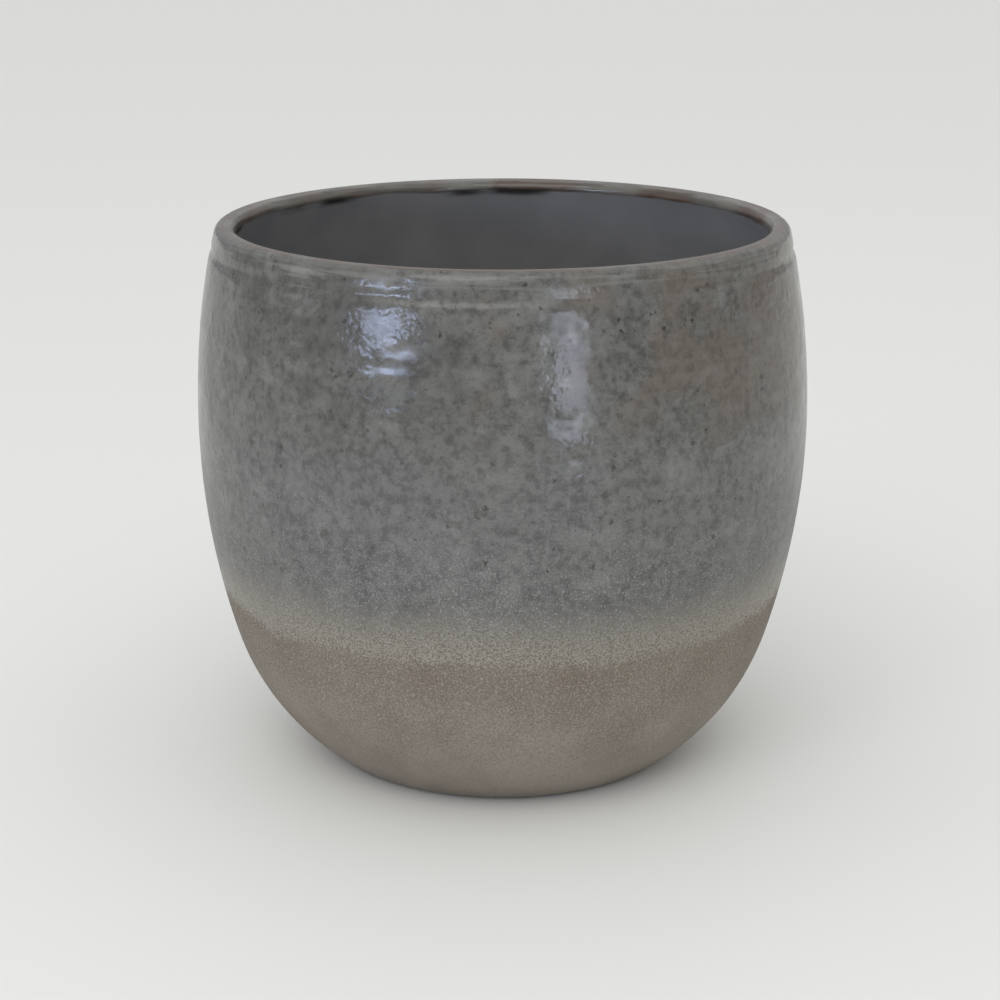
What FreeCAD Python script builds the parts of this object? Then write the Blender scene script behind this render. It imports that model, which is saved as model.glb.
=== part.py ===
"""Self-watering planter: a glazed stoneware pot with a lift-out watering insert.

The pot is a round-bellied bowl on a foot ring, with a drain hole that a rubber plug closes.
The insert stands on the pot's floor and makes a water reservoir under a perforated platform.
Wicks draw the water up, a tube near the front wall fills the reservoir, and a float in a
perforated chamber lifts a red marker in a clear window.

Millimetres. The origin is on the floor under the pot's centre, +Z is up and the front faces -Y.
"""
import FreeCAD, Part
import Sketcher
import math
import os

os.makedirs("parts", exist_ok=True)
doc = FreeCAD.newDocument("self_watering_planter")

# Driving sizes: radii, lengths and gaps in millimetres.
SIZES = {
    # Pot outline
    "pot_height": 178.0,
    "belly_radius": 100.0,
    "belly_height": 115.0,
    "mouth_inset": 7.7,
    "knee_height": 43.5,
    "knee_inset": 10.6,
    "heel_inset": 31.0,
    "wall": 7.0,
    "base_wall": 7.5,
    "lip_flat": 0.6,
    "collar_drop": 8.0,
    "collar_depth": 0.5,
    "collar_groove": 2.0,
    # Foot, pads and drain
    "foot_width": 12.0,
    "foot_recess": 3.0,
    "foot_round": 1.5,
    "floor_round": 5.0,
    "pad_radius": 4.0,
    "pad_proud": 0.8,
    "pad_sink": 1.0,
    "drain_radius": 8.0,
    "plug_flange": 4.0,
    "plug_flange_thick": 2.4,
    "plug_ring": 6.0,
    "plug_ring_wire": 1.4,
    # Platform and its seal
    "platform_level": 50.0,
    "platform_thick": 3.0,
    "platform_gap": 3.0,
    "skirt_drop": 4.0,
    "skirt_wall": 2.4,
    "rib_width": 1.8,
    "rib_drop": 3.4,
    "hub_radius": 14.0,
    "air_hole": 1.6,
    "air_hub_gap": 5.0,
    "air_edge_gap": 11.0,
    "air_pitch": 10.0,
    "seal_reach": 2.2,
    "seal_thick": 1.2,
    # Legs
    "leg_radius": 5.0,
    "leg_bore": 3.2,
    "leg_foot": 6.5,
    "leg_foot_thick": 2.0,
    "leg_edge_gap": 12.4,
    "socket_wall": 1.9,
    "socket_drop": 6.0,
    # Wick cups, wicks and fleece
    "cup_ring_share": 0.6,
    "cup_radius": 11.5,
    "cup_foot_radius": 10.2,
    "cup_wall": 1.6,
    "cup_flange": 2.0,
    "cup_flange_thick": 1.5,
    "cup_floor_gap": 2.0,
    "cup_slot": 2.0,
    "wick_above": 14.0,
    "wick_crown": 3.0,
    "fleece_thick": 2.0,
    "fleece_edge": 2.0,
    # Filler
    "mouth_gap": 4.4,
    "fill_bore": 7.0,
    "tube_wall": 1.8,
    "fill_tube_drop": 14.0,
    "collar_wall": 3.0,
    "collar_height": 5.0,
    # Column head, lid and hinge
    "head_drop": 38.0,
    "head_thick": 8.0,
    "head_rim": 3.8,
    "tube_engage": 5.0,
    "funnel_flare": 2.5,
    "lid_thick": 2.4,
    "lid_overlap": 2.5,
    "lid_spigot": 2.0,
    "lid_spigot_gap": 0.4,
    "lid_spigot_wall": 1.4,
    "tab_width": 7.0,
    "tab_reach": 2.0,
    "tab_thick": 1.8,
    "pin_radius": 1.0,
    "knuckle_radius": 2.3,
    "knuckle_width": 12.0,
    "ear_width": 3.0,
    "ear_foot": 4.0,
    "ear_root": 1.0,
    "hinge_outset": 1.0,
    # Level gauge
    "tab_gap": 1.4,
    "gauge_bore": 3.2,
    "gauge_wall": 1.6,
    "gauge_tube_drop": 3.0,
    "float_radius": 8.6,
    "float_tall": 15.0,
    "float_crown": 2.0,
    "float_travel": 15.0,
    "chamber_gap": 1.0,
    "chamber_wall": 1.4,
    "chamber_slot": 2.0,
    "chamber_slot_margin": 10.0,
    "chamber_floor_gap": 1.2,
    "cap_thick": 1.6,
    "cap_skirt": 5.0,
    "cap_bore": 2.0,
    "cap_hole_share": 0.6,
    "rod_radius": 1.0,
    "rod_socket": 10.5,
    "marker_radius": 2.2,
    "marker_tall": 3.4,
    "marker_lift": 1.0,
    "marker_cap": 1.0,
    "window_radius": 5.4,
    "window_wall": 1.2,
    "window_flange": 1.8,
    "window_seat": 1.2,
    "window_crown": 2.4,
    "ring_wall": 1.4,
    "ring_tall": 2.4,
    "bush_radius": 2.6,
    "bush_flange": 1.0,
    # Edges and clearances
    "edge_break": 1.0,
    "snug": 0.1,
    "running": 0.06,
    "apart": 0.35,
}

# Bearings about the pot's axis, in degrees from +X.
PAD_ANGLES = (45, 135, 225, 315)
LEG_ANGLES = (45, 135, 230, 310)
CUP_ANGLES = (90, 195, 345)
RIBS = 8
INNER_HOLE_SHARES = (1, 3)
OUTER_HOLE_SHARES = (1, 2, 3)
CUP_SLOTS = 8
CHAMBER_SLOTS = 6


class Amount:
    """A length known as a number and as an expression on the sheet."""

    def __init__(self, value, text):
        self.value = value
        self.text = text

    def _join(self, other, sign, result):
        """Return the amount of this and other joined by an operator's sign."""
        other = as_amount(other)
        return Amount(result(self.value, other.value), f"({self.text} {sign} {other.text})")

    def __add__(self, other):
        return self._join(other, "+", lambda a, b: a + b)

    def __sub__(self, other):
        return self._join(other, "-", lambda a, b: a - b)

    def __mul__(self, other):
        return self._join(other, "*", lambda a, b: a * b)

    def __truediv__(self, other):
        return self._join(other, "/", lambda a, b: a / b)

    def __rsub__(self, other):
        return as_amount(other) - self

    def __neg__(self):
        return 0 - self

    def root(self):
        """Return the square root."""
        return Amount(math.sqrt(self.value), f"sqrt({self.text})")


def as_amount(number):
    """Return a plain number as an Amount, and an Amount as it is."""
    if isinstance(number, Amount):
        return number
    return Amount(float(number), repr(float(number)))


def make_sheet():
    """Write the driving sizes to the document's sheet and return them by name."""
    sheet = doc.addObject("Spreadsheet::Sheet", "sizes")
    amounts = {}
    for row, (name, number) in enumerate(SIZES.items(), start=1):
        sheet.set(f"A{row}", name)
        sheet.set(f"B{row}", str(number))
        sheet.setAlias(f"B{row}", name)
        amounts[name] = Amount(number, f"sizes.{name}")
    doc.recompute()
    return amounts


S = make_sheet()


# ---- Tools of the drawing board --------------------------------------------------------------

def bind(thing, path, amount):
    """Set a property of thing and tie it to the sheet."""
    thing.setExpression(path, as_amount(amount).text)


def new_body(label, at=(0, 0, 0)):
    """Return an empty body placed at the point at."""
    body = doc.addObject("PartDesign::Body", label)
    body.Label = label
    for axis, amount in zip("xyz", at):
        bind(body, f"Placement.Base.{axis}", amount)
    return body


def new_sketch(body, name, role, lift=0):
    """Return a sketch on one of the body's own origin planes, moved along its normal by lift."""
    sketch = body.newObject("Sketcher::SketchObject", name)
    plane = next(item for item in body.Origin.OriginFeatures if item.Role == role)
    sketch.AttachmentSupport = [(plane, "")]
    sketch.MapMode = "FlatFace"
    bind(sketch, "AttachmentOffset.Base.z", lift)
    return sketch


def pin_point(sketch, geometry, end, x, y):
    """Fix one point of a sketch at x and y from the sketch's origin."""
    for kind, axis, amount in (("DistanceX", -2, as_amount(x)), ("DistanceY", -1, as_amount(y))):
        if amount.value == 0:
            sketch.addConstraint(Sketcher.Constraint("PointOnObject", geometry, end, axis))
            continue
        if amount.value > 0:
            rule = Sketcher.Constraint(kind, -1, 1, geometry, end, amount.value)
        else:
            amount = -amount
            rule = Sketcher.Constraint(kind, geometry, end, -1, 1, amount.value)
        bind(sketch, f"Constraints[{sketch.addConstraint(rule)}]", amount)


def arc_between(start, finish, radius, turn):
    """Return the short arc from start to finish; turn is 1 anticlockwise and -1 clockwise."""
    chord = finish - start
    rise = math.sqrt(radius ** 2 - (chord.Length / 2) ** 2)
    side = FreeCAD.Vector(-chord.y, chord.x, 0).normalize()
    centre = (start + finish) / 2 + side * (turn * rise)
    first, last = (start, finish) if turn > 0 else (finish, start)
    angles = [math.atan2(point.y - centre.y, point.x - centre.x) for point in (first, last)]
    circle = Part.Circle(centre, FreeCAD.Vector(0, 0, 1), radius)
    return Part.ArcOfCircle(circle, *angles)


def draw_outline(sketch, corners):
    """Draw one closed outline.

    A corner is (x, y), or (x, y, radius, turn) where an arc leads to it from the last corner.
    """
    points = [FreeCAD.Vector(as_amount(c[0]).value, as_amount(c[1]).value, 0) for c in corners]
    ends = []
    for index, corner in enumerate(corners):
        start, finish = points[index - 1], points[index]
        if len(corner) == 2:
            sketch.addGeometry(Part.LineSegment(start, finish))
            ends.append((1, 2))
        else:
            radius, turn = as_amount(corner[2]), corner[3]
            edge = sketch.addGeometry(arc_between(start, finish, radius.value, turn))
            ends.append((1, 2) if turn > 0 else (2, 1))
            rule = sketch.addConstraint(Sketcher.Constraint("Radius", edge, radius.value))
            bind(sketch, f"Constraints[{rule}]", radius)
    first_edge = sketch.GeometryCount - len(corners)
    for index, corner in enumerate(corners):
        following = (index + 1) % len(corners)
        here = (first_edge + index, ends[index][1])
        there = (first_edge + following, ends[following][0])
        sketch.addConstraint(Sketcher.Constraint("Coincident", *here, *there))
        pin_point(sketch, *here, corner[0], corner[1])


def draw_circle(sketch, x, y, radius):
    """Draw a circle at x and y."""
    centre = FreeCAD.Vector(as_amount(x).value, as_amount(y).value, 0)
    radius = as_amount(radius)
    edge = sketch.addGeometry(Part.Circle(centre, FreeCAD.Vector(0, 0, 1), radius.value))
    pin_point(sketch, edge, 3, x, y)
    rule = sketch.addConstraint(Sketcher.Constraint("Radius", edge, radius.value))
    bind(sketch, f"Constraints[{rule}]", radius)


def box_corners(low_x, low_y, high_x, high_y):
    """Return the corners of an upright rectangle."""
    return [(low_x, low_y), (high_x, low_y), (high_x, high_y), (low_x, high_y)]


def revolve(body, sketch, kind="PartDesign::Revolution"):
    """Turn a sketch on the XZ plane about the body's own Z axis."""
    doc.recompute()
    feature = body.newObject(kind, sketch.Name + "_turn")
    feature.Profile = sketch
    feature.ReferenceAxis = (sketch, ["V_Axis"])
    feature.Angle = 360
    return settle(body, feature)


def extrude(body, sketch, kind, length=None, both_ways=False, backwards=False):
    """Pad or pocket a sketch by length, or pocket it through everything where length is None."""
    doc.recompute()
    feature = body.newObject(kind, sketch.Name + "_" + kind.split("::")[1].lower())
    feature.Profile = sketch
    if length is None:
        feature.Type = "ThroughAll"
    else:
        bind(feature, "Length", length)
    feature.SideType = "Symmetric" if both_ways else "One side"
    feature.Reversed = backwards
    return settle(body, feature)


def settle(body, feature):
    """Make a feature the body's tip, and stop if it failed or changed nothing."""
    before = 0.0 if body.Shape.isNull() else body.Shape.Volume
    body.Tip = feature
    doc.recompute()
    if "Invalid" in feature.State or abs(body.Shape.Volume - before) < 1e-3:
        raise RuntimeError(f"{body.Label}: {feature.Name} made nothing")
    return feature


def repeat_round(body, feature, count, angle=360):
    """Repeat a feature count times about the body's Z axis over angle."""
    pattern = body.newObject("PartDesign::PolarPattern", feature.Name + "_round")
    pattern.Originals = [feature]
    axis = next(item for item in body.Origin.OriginFeatures if item.Role == "Z_Axis")
    pattern.Axis = (axis, [""])
    pattern.Angle = angle
    pattern.Occurrences = count
    return settle(body, pattern)


def ring_edges(body, radius, level):
    """Return the names of the round edges about the body's Z axis at a radius and level."""
    names = []
    for number, edge in enumerate(body.Tip.Shape.Edges, start=1):
        curve = edge.Curve
        if not isinstance(curve, Part.Circle):
            continue
        off_axis = math.hypot(curve.Center.x, curve.Center.y)
        if max(abs(curve.Radius - radius.value), abs(curve.Center.z - level.value), off_axis) < 1e-3:
            names.append(f"Edge{number}")
    return names


def round_edges(body, name, edges, radius):
    """Fillet named edges of the body's last feature."""
    base = body.Tip
    fillet = body.newObject("PartDesign::Fillet", name)
    fillet.Base = (base, edges)
    bind(fillet, "Radius", radius)
    return settle(body, fillet)


def turned(label, corners, at=(0, 0, 0)):
    """Return a body turned about its own Z axis from one outline of (radius, height)."""
    body = new_body(label, at)
    sketch = new_sketch(body, label + "_outline", "XZ_Plane")
    draw_outline(sketch, corners)
    revolve(body, sketch)
    return body


def slot_wall(body, name, width, low, high, count):
    """Cut count upright slots, evenly spaced, through the body's round wall."""
    sketch = new_sketch(body, name, "XZ_Plane")
    draw_outline(sketch, box_corners(-(width / 2), low, width / 2, high))
    slot = extrude(body, sketch, "PartDesign::Pocket", both_ways=True)
    # One pocket cuts the wall on both sides, so half a turn holds them all.
    repeat_round(body, slot, count // 2, 180 - 360 / count)


def on_ring(radius, degrees):
    """Return the x and y of a point at a radius and bearing from the pot's axis."""
    bearing = math.radians(degrees)
    return radius * math.cos(bearing), radius * math.sin(bearing)


# ---- The pot's outline, which the insert fits ------------------------------------------------

foot_level = S["pad_proud"]
floor_level = foot_level + S["foot_recess"] + S["base_wall"]
mouth_radius = S["belly_radius"] - S["mouth_inset"]
knee_radius = S["belly_radius"] - S["knee_inset"]
foot_radius = knee_radius - S["heel_inset"]
recess_radius = foot_radius - S["foot_width"]

# The side's two arcs meet upright at the belly, so their centres lie at its height.
upper_rise = S["pot_height"] - S["belly_height"]
upper_curve = (upper_rise * upper_rise + S["mouth_inset"] * S["mouth_inset"]) / (S["mouth_inset"] * 2)
lower_rise = S["belly_height"] - S["knee_height"]
lower_curve = (lower_rise * lower_rise + S["knee_inset"] * S["knee_inset"]) / (S["knee_inset"] * 2)

# The heel's arc leaves the side smoothly at the knee and ends on the foot.
normal_out = (lower_curve - S["knee_inset"]) / lower_curve
normal_down = lower_rise / lower_curve
heel_rise = S["knee_height"] - foot_level
heel_chord = S["heel_inset"] * S["heel_inset"] + heel_rise * heel_rise
heel_curve = heel_chord / ((S["heel_inset"] * normal_out - heel_rise * normal_down) * 2)
heel_centre = (knee_radius - heel_curve * normal_out, S["knee_height"] + heel_curve * normal_down)


def side_radius(level, inset=0):
    """Return the pot's radius at a level on its side above the knee, less an inset."""
    rise = as_amount(level) - S["belly_height"]
    curve = upper_curve if rise.value > 0 else lower_curve
    reach = curve - inset
    return S["belly_radius"] - curve + (reach * reach - rise * rise).root()


def heel_radius(level, inset=0):
    """Return the pot's radius at a level below the knee, less an inset."""
    reach = heel_curve - inset
    rise = heel_centre[1] - level
    return heel_centre[0] + (reach * reach - rise * rise).root()


mouth_bore = side_radius(S["pot_height"], S["wall"])
floor_radius = heel_radius(floor_level, S["wall"])
pad_ring = (foot_radius + recess_radius) / 2


# ---- Pot, pads and plug ----------------------------------------------------------------------

def make_pot():
    """Turn the pot, round its lip and foot, and cut its collar line and pad seats."""
    wall = S["wall"]
    recess_level = foot_level + S["foot_recess"]
    inner_knee = (knee_radius - wall * normal_out, S["knee_height"] + wall * normal_down)
    pot = turned("pot", [
        (S["drain_radius"], recess_level),
        (recess_radius - S["foot_recess"] / 2, recess_level),
        (recess_radius, foot_level),
        (foot_radius, foot_level),
        (knee_radius, S["knee_height"], heel_curve, 1),
        (S["belly_radius"], S["belly_height"], lower_curve, 1),
        (mouth_radius, S["pot_height"], upper_curve, 1),
        (mouth_bore, S["pot_height"]),
        (S["belly_radius"] - wall, S["belly_height"], upper_curve - wall, -1),
        (*inner_knee, lower_curve - wall, -1),
        (floor_radius, floor_level, heel_curve - wall, -1),
        (S["drain_radius"], floor_level),
    ])
    lip = ring_edges(pot, mouth_radius, S["pot_height"]) + ring_edges(pot, mouth_bore, S["pot_height"])
    round_edges(pot, "lip", lip, (wall - S["lip_flat"]) / 2)
    round_edges(pot, "floor_corner", ring_edges(pot, floor_radius, floor_level), S["floor_round"])
    round_edges(pot, "foot_edge", ring_edges(pot, foot_radius, foot_level), S["foot_round"])

    collar = new_sketch(pot, "collar_line", "XZ_Plane")
    collar_level = S["pot_height"] - S["collar_drop"]
    collar_centre = side_radius(collar_level) + S["collar_groove"] - S["collar_depth"]
    draw_circle(collar, collar_centre, collar_level, S["collar_groove"])
    revolve(pot, collar, "PartDesign::Groove")

    seat = new_sketch(pot, "pad_seat", "XY_Plane")
    draw_circle(seat, *on_ring(pad_ring, PAD_ANGLES[0]), S["pad_radius"] + S["snug"])
    cut = extrude(pot, seat, "PartDesign::Pocket", foot_level + S["pad_sink"], backwards=True)
    repeat_round(pot, cut, len(PAD_ANGLES))


def make_pads():
    """Make the rubber pads that stand a little proud of the foot ring."""
    thick = S["pad_proud"] + S["pad_sink"] - S["snug"]
    edge = S["pad_proud"] / 2
    for number, degrees in enumerate(PAD_ANGLES, start=1):
        turned(f"foot_pad_{number}", [
            (0, 0),
            (S["pad_radius"] - edge, 0),
            (S["pad_radius"], edge, edge, 1),
            (S["pad_radius"], thick),
            (0, thick),
        ], (*on_ring(pad_ring, degrees), 0))


def make_plug():
    """Make the rubber plug: a flange on the floor, a stem in the drain and a ring to pull."""
    stem = S["drain_radius"] - S["running"]
    stem_drop = S["base_wall"] - S["apart"]
    flange = S["drain_radius"] + S["plug_flange"]
    thick = S["plug_flange_thick"]
    edge = S["edge_break"]
    plug = turned("drain_plug", [
        (0, -stem_drop),
        (stem - edge, -stem_drop),
        (stem, edge - stem_drop),
        (stem, S["apart"]),
        (flange, S["apart"]),
        (flange, thick - edge),
        (flange - edge, thick, edge, 1),
        (0, thick),
    ], (0, 0, floor_level))
    ring = plug.newObject("PartDesign::AdditiveTorus", "pull_ring")
    ring.AttachmentSupport = [(next(i for i in plug.Origin.OriginFeatures if i.Role == "XZ_Plane"), "")]
    ring.MapMode = "FlatFace"
    bind(ring, "AttachmentOffset.Base.y", thick + S["plug_ring"])
    bind(ring, "Radius1", S["plug_ring"])
    bind(ring, "Radius2", S["plug_ring_wire"])
    settle(plug, ring)


# ---- Platform and what stands on it or hangs from it -----------------------------------------

platform_top = S["platform_level"] + S["platform_thick"]
platform_radius = side_radius(S["platform_level"], S["wall"]) - S["platform_gap"]
leg_ring = floor_radius - S["leg_edge_gap"]
cup_ring = floor_radius * S["cup_ring_share"]

# The filler stands as near the wall as its hinge can pass the mouth, and its lid clears the gauge.
funnel_radius = S["fill_bore"] + S["funnel_flare"]
fill_end = funnel_radius + S["head_rim"]
hinge_y = -(fill_end + S["hinge_outset"])
lid_radius = funnel_radius + S["lid_overlap"]
window_flange = S["window_radius"] + S["window_flange"]
window_ring_radius = window_flange + S["ring_wall"]
fill_y = S["knuckle_radius"] - hinge_y + S["mouth_gap"] - mouth_bore
gauge_spacing = lid_radius + S["tab_reach"] + S["tab_gap"] + window_ring_radius
gauge_y = fill_y + gauge_spacing
fill_radius = S["fill_bore"] + S["tube_wall"]
gauge_radius = S["gauge_bore"] + S["gauge_wall"]
chamber_bore = S["float_radius"] + S["chamber_gap"]
chamber_radius = chamber_bore + S["chamber_wall"]
cup_foot = floor_level + S["cup_floor_gap"]


def make_platform():
    """Make the false floor: a skirted disc with ribs, leg sockets, air holes and openings."""
    level = S["platform_level"]
    skirt_level = level - S["skirt_drop"]
    skirt_bore = platform_radius - S["skirt_wall"]
    platform = turned("platform", [
        (0, level),
        (skirt_bore, level),
        (skirt_bore, skirt_level),
        (platform_radius, skirt_level),
        (platform_radius, platform_top),
        (0, platform_top),
    ])

    rib = new_sketch(platform, "rib", "XY_Plane", level)
    half = S["rib_width"] / 2
    draw_outline(rib, box_corners(S["hub_radius"], -half, skirt_bore, half))
    first_rib = extrude(platform, rib, "PartDesign::Pad", S["rib_drop"], backwards=True)
    repeat_round(platform, first_rib, RIBS)

    sockets = new_sketch(platform, "leg_sockets", "XY_Plane", level)
    for degrees in LEG_ANGLES:
        draw_circle(sockets, *on_ring(leg_ring, degrees), S["leg_radius"] + S["snug"] + S["socket_wall"])
    extrude(platform, sockets, "PartDesign::Pad", S["socket_drop"], backwards=True)
    bores = new_sketch(platform, "leg_bores", "XY_Plane", level - S["socket_drop"] * 2)
    for degrees in LEG_ANGLES:
        draw_circle(bores, *on_ring(leg_ring, degrees), S["leg_radius"] + S["snug"])
    extrude(platform, bores, "PartDesign::Pocket", S["socket_drop"] * 2, backwards=True)

    # Air holes stand between the ribs, at quarters of the bearing from one rib to the next.
    holes = new_sketch(platform, "air_holes", "XY_Plane")
    outer_ring = platform_radius - S["air_edge_gap"]
    rings = [(S["hub_radius"] + S["air_hub_gap"], INNER_HOLE_SHARES),
             (outer_ring, OUTER_HOLE_SHARES),
             (outer_ring - S["air_pitch"], OUTER_HOLE_SHARES)]
    for ring, shares in rings:
        for share in shares:
            draw_circle(holes, *on_ring(ring, 360 / RIBS * share / 4), S["air_hole"])
    cut = extrude(platform, holes, "PartDesign::Pocket", backwards=True)
    repeat_round(platform, cut, RIBS)

    openings = new_sketch(platform, "openings", "XY_Plane")
    for degrees in CUP_ANGLES:
        draw_circle(openings, *on_ring(cup_ring, degrees), S["cup_radius"] + S["snug"])
    draw_circle(openings, 0, fill_y, fill_radius + S["snug"])
    draw_circle(openings, 0, gauge_y, gauge_radius + S["snug"])
    extrude(platform, openings, "PartDesign::Pocket", backwards=True)

    # The float chamber's top stands in a round clearing in the ribs.
    clearing = new_sketch(platform, "chamber_clearing", "XY_Plane")
    draw_circle(clearing, 0, gauge_y, chamber_radius + S["snug"])
    extrude(platform, clearing, "PartDesign::Pocket", level, backwards=True)


def make_seal():
    """Make the soft wiper that closes the gap between the platform and the pot's wall."""
    thick = S["seal_thick"]
    inner = platform_radius + S["snug"]
    reach = platform_radius + S["seal_reach"]
    low = platform_top - thick * 2
    turned("edge_seal", [
        (inner, low),
        (inner + thick, low),
        (inner + thick, low + thick / 2),
        (reach, platform_top - thick / 2),
        (reach, platform_top),
        (inner, platform_top),
    ])


def make_legs():
    """Make the legs that hold the platform up and press into its sockets."""
    foot = floor_level + S["apart"]
    top = S["platform_level"] - S["snug"]
    bore_floor = foot + S["leg_foot_thick"]
    edge = S["edge_break"]
    for number, degrees in enumerate(LEG_ANGLES, start=1):
        turned(f"leg_{number}", [
            (0, foot),
            (S["leg_foot"], foot),
            (S["leg_foot"], bore_floor),
            (S["leg_radius"], bore_floor + edge),
            (S["leg_radius"], top - edge),
            (S["leg_radius"] - edge, top),
            (S["leg_bore"], top),
            (S["leg_bore"], bore_floor),
            (0, bore_floor),
        ], (*on_ring(leg_ring, degrees), 0))


def make_cups_and_wicks():
    """Make the perforated cups that hang in the water and the fibre wicks that fill them."""
    wall = S["cup_wall"]
    flange_top = platform_top + S["cup_flange_thick"]
    inner_foot = S["cup_foot_radius"] - wall
    inner_top = S["cup_radius"] - wall
    wick_foot = cup_foot + wall + S["snug"]
    wick_top = platform_top + S["wick_above"]
    crown = S["wick_crown"]
    for number, degrees in enumerate(CUP_ANGLES, start=1):
        place = (*on_ring(cup_ring, degrees), 0)
        cup = turned(f"wick_cup_{number}", [
            (0, cup_foot),
            (S["cup_foot_radius"], cup_foot),
            (S["cup_radius"], S["platform_level"]),
            (S["cup_radius"], platform_top),
            (S["cup_radius"] + S["cup_flange"], platform_top),
            (S["cup_radius"] + S["cup_flange"], flange_top),
            (inner_top, flange_top),
            (inner_foot, cup_foot + wall),
            (0, cup_foot + wall),
        ], place)
        slot_wall(cup, f"cup_slot_{number}", S["cup_slot"], cup_foot + wall * 2,
                  S["platform_level"] - wall * 2, CUP_SLOTS)
        turned(f"wick_{number}", [
            (0, wick_foot),
            (inner_foot - S["snug"], wick_foot),
            (inner_top - S["snug"] * 2, flange_top),
            (inner_top - S["snug"] * 2, wick_top - crown),
            (inner_top - S["snug"] * 2 - crown, wick_top, crown, 1),
            (0, wick_top),
        ], place)


def make_fleece():
    """Make the fleece disc that keeps soil off the platform, cut out round what passes it."""
    low = platform_top + S["snug"]
    reach = platform_radius - S["fleece_edge"]
    fleece = turned("fleece", [
        (0, low),
        (reach, low),
        (reach, low + S["fleece_thick"]),
        (0, low + S["fleece_thick"]),
    ])
    cuts = new_sketch(fleece, "fleece_cuts", "XY_Plane")
    for degrees in CUP_ANGLES:
        draw_circle(cuts, *on_ring(cup_ring, degrees), S["cup_radius"] + S["cup_flange"] + S["apart"])
    draw_circle(cuts, 0, fill_y, fill_radius + S["collar_wall"] + S["apart"])
    draw_circle(cuts, 0, gauge_y, gauge_radius + S["collar_wall"] + S["apart"])
    extrude(fleece, cuts, "PartDesign::Pocket", backwards=True)


# ---- Filler tube, gauge tube and the head that joins them ------------------------------------

head_top = S["pot_height"] - S["head_drop"]
head_low = head_top - S["head_thick"]
tube_top = head_low + S["tube_engage"] - S["snug"]
gauge_tube_low = S["platform_level"] - S["gauge_tube_drop"]
# The hinge's height over the head's top face.
hinge_z = S["knuckle_radius"] + S["apart"]
seat_level = head_top - S["window_seat"]


def make_tube(label, y, bore, radius, low):
    """Make a straight tube from low to its socket in the column head."""
    turned(label, [(bore, low), (radius, low), (radius, tube_top), (bore, tube_top)], (0, y, 0))


def make_collar(label, y, radius):
    """Make the rubber collar that seals a tube where it stands on the platform."""
    inner = radius + S["snug"]
    outer = radius + S["collar_wall"]
    low = platform_top + S["snug"] / 2
    top = low + S["collar_height"]
    turned(label, [
        (inner, low),
        (outer, low),
        (outer, low + S["collar_height"] / 2),
        (outer - S["collar_wall"] / 2, top),
        (inner, top),
    ], (0, y, 0))


def make_head():
    """Make the column head: a funnel over the fill tube and the window's seat, in one plate."""
    thick = S["head_thick"]
    gap = gauge_spacing
    gauge_end = window_flange + S["head_rim"] / 2
    lean = (fill_end - gauge_end) / gap
    across = (as_amount(1) - lean * lean).root()
    head = new_body("column_head", (0, fill_y, head_low))

    plate = new_sketch(head, "head_plate", "XY_Plane")
    draw_outline(plate, [
        (fill_end * across, fill_end * lean, fill_end, 1),
        (gauge_end * across, gap + gauge_end * lean),
        (0, gap + gauge_end, gauge_end, 1),
        (-(gauge_end * across), gap + gauge_end * lean, gauge_end, 1),
        (-(fill_end * across), fill_end * lean),
        (0, -fill_end, fill_end, 1),
    ])
    extrude(head, plate, "PartDesign::Pad", thick)

    # Two ears outside the plate's end hold the hinge pin over its top face.
    ears = new_sketch(head, "hinge_ears", "YZ_Plane")
    pin_level = thick + hinge_z
    reach = S["knuckle_radius"]
    root = -(S["fill_bore"] + S["snug"])
    draw_outline(ears, [
        (hinge_y - reach, S["ear_foot"]),
        (root, S["ear_root"]),
        (root, thick),
        (hinge_y + reach, thick),
        (hinge_y + reach, pin_level),
        (hinge_y, pin_level + reach, reach, 1),
        (hinge_y - reach, pin_level, reach, 1),
    ])
    extrude(head, ears, "PartDesign::Pad", S["knuckle_width"] + S["ear_width"] * 2, both_ways=True)
    gap_sketch = new_sketch(head, "knuckle_gap", "YZ_Plane")
    draw_outline(gap_sketch, box_corners(hinge_y - reach * 2, 0, -fill_end, pin_level + reach * 2))
    extrude(head, gap_sketch, "PartDesign::Pocket", S["knuckle_width"] + S["apart"] * 2, both_ways=True)
    over_plate = new_sketch(head, "over_plate_gap", "YZ_Plane")
    draw_outline(over_plate, box_corners(hinge_y, thick, hinge_y + reach * 2, pin_level + reach * 2))
    extrude(head, over_plate, "PartDesign::Pocket", S["knuckle_width"] + S["apart"] * 2, both_ways=True)
    pin_hole = new_sketch(head, "pin_hole", "YZ_Plane")
    draw_circle(pin_hole, hinge_y, pin_level, S["pin_radius"] + S["running"] / 2)
    extrude(head, pin_hole, "PartDesign::Pocket", both_ways=True)

    bores = new_sketch(head, "through_bores", "XY_Plane")
    draw_circle(bores, 0, 0, S["fill_bore"])
    draw_circle(bores, 0, gap, S["bush_radius"] + S["snug"])
    extrude(head, bores, "PartDesign::Pocket", backwards=True)
    sockets = new_sketch(head, "tube_sockets", "XY_Plane")
    draw_circle(sockets, 0, 0, fill_radius + S["snug"])
    draw_circle(sockets, 0, gap, gauge_radius + S["snug"])
    extrude(head, sockets, "PartDesign::Pocket", S["tube_engage"], backwards=True)
    seat = new_sketch(head, "window_seat", "XY_Plane", thick)
    draw_circle(seat, 0, gap, window_flange + S["snug"])
    extrude(head, seat, "PartDesign::Pocket", S["window_seat"])
    funnel = new_sketch(head, "funnel", "XZ_Plane")
    funnel_foot = thick - S["funnel_flare"]
    draw_outline(funnel, [
        (0, funnel_foot),
        (S["fill_bore"], funnel_foot),
        (funnel_radius, thick),
        (0, thick),
    ])
    revolve(head, funnel, "PartDesign::Groove")


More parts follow.
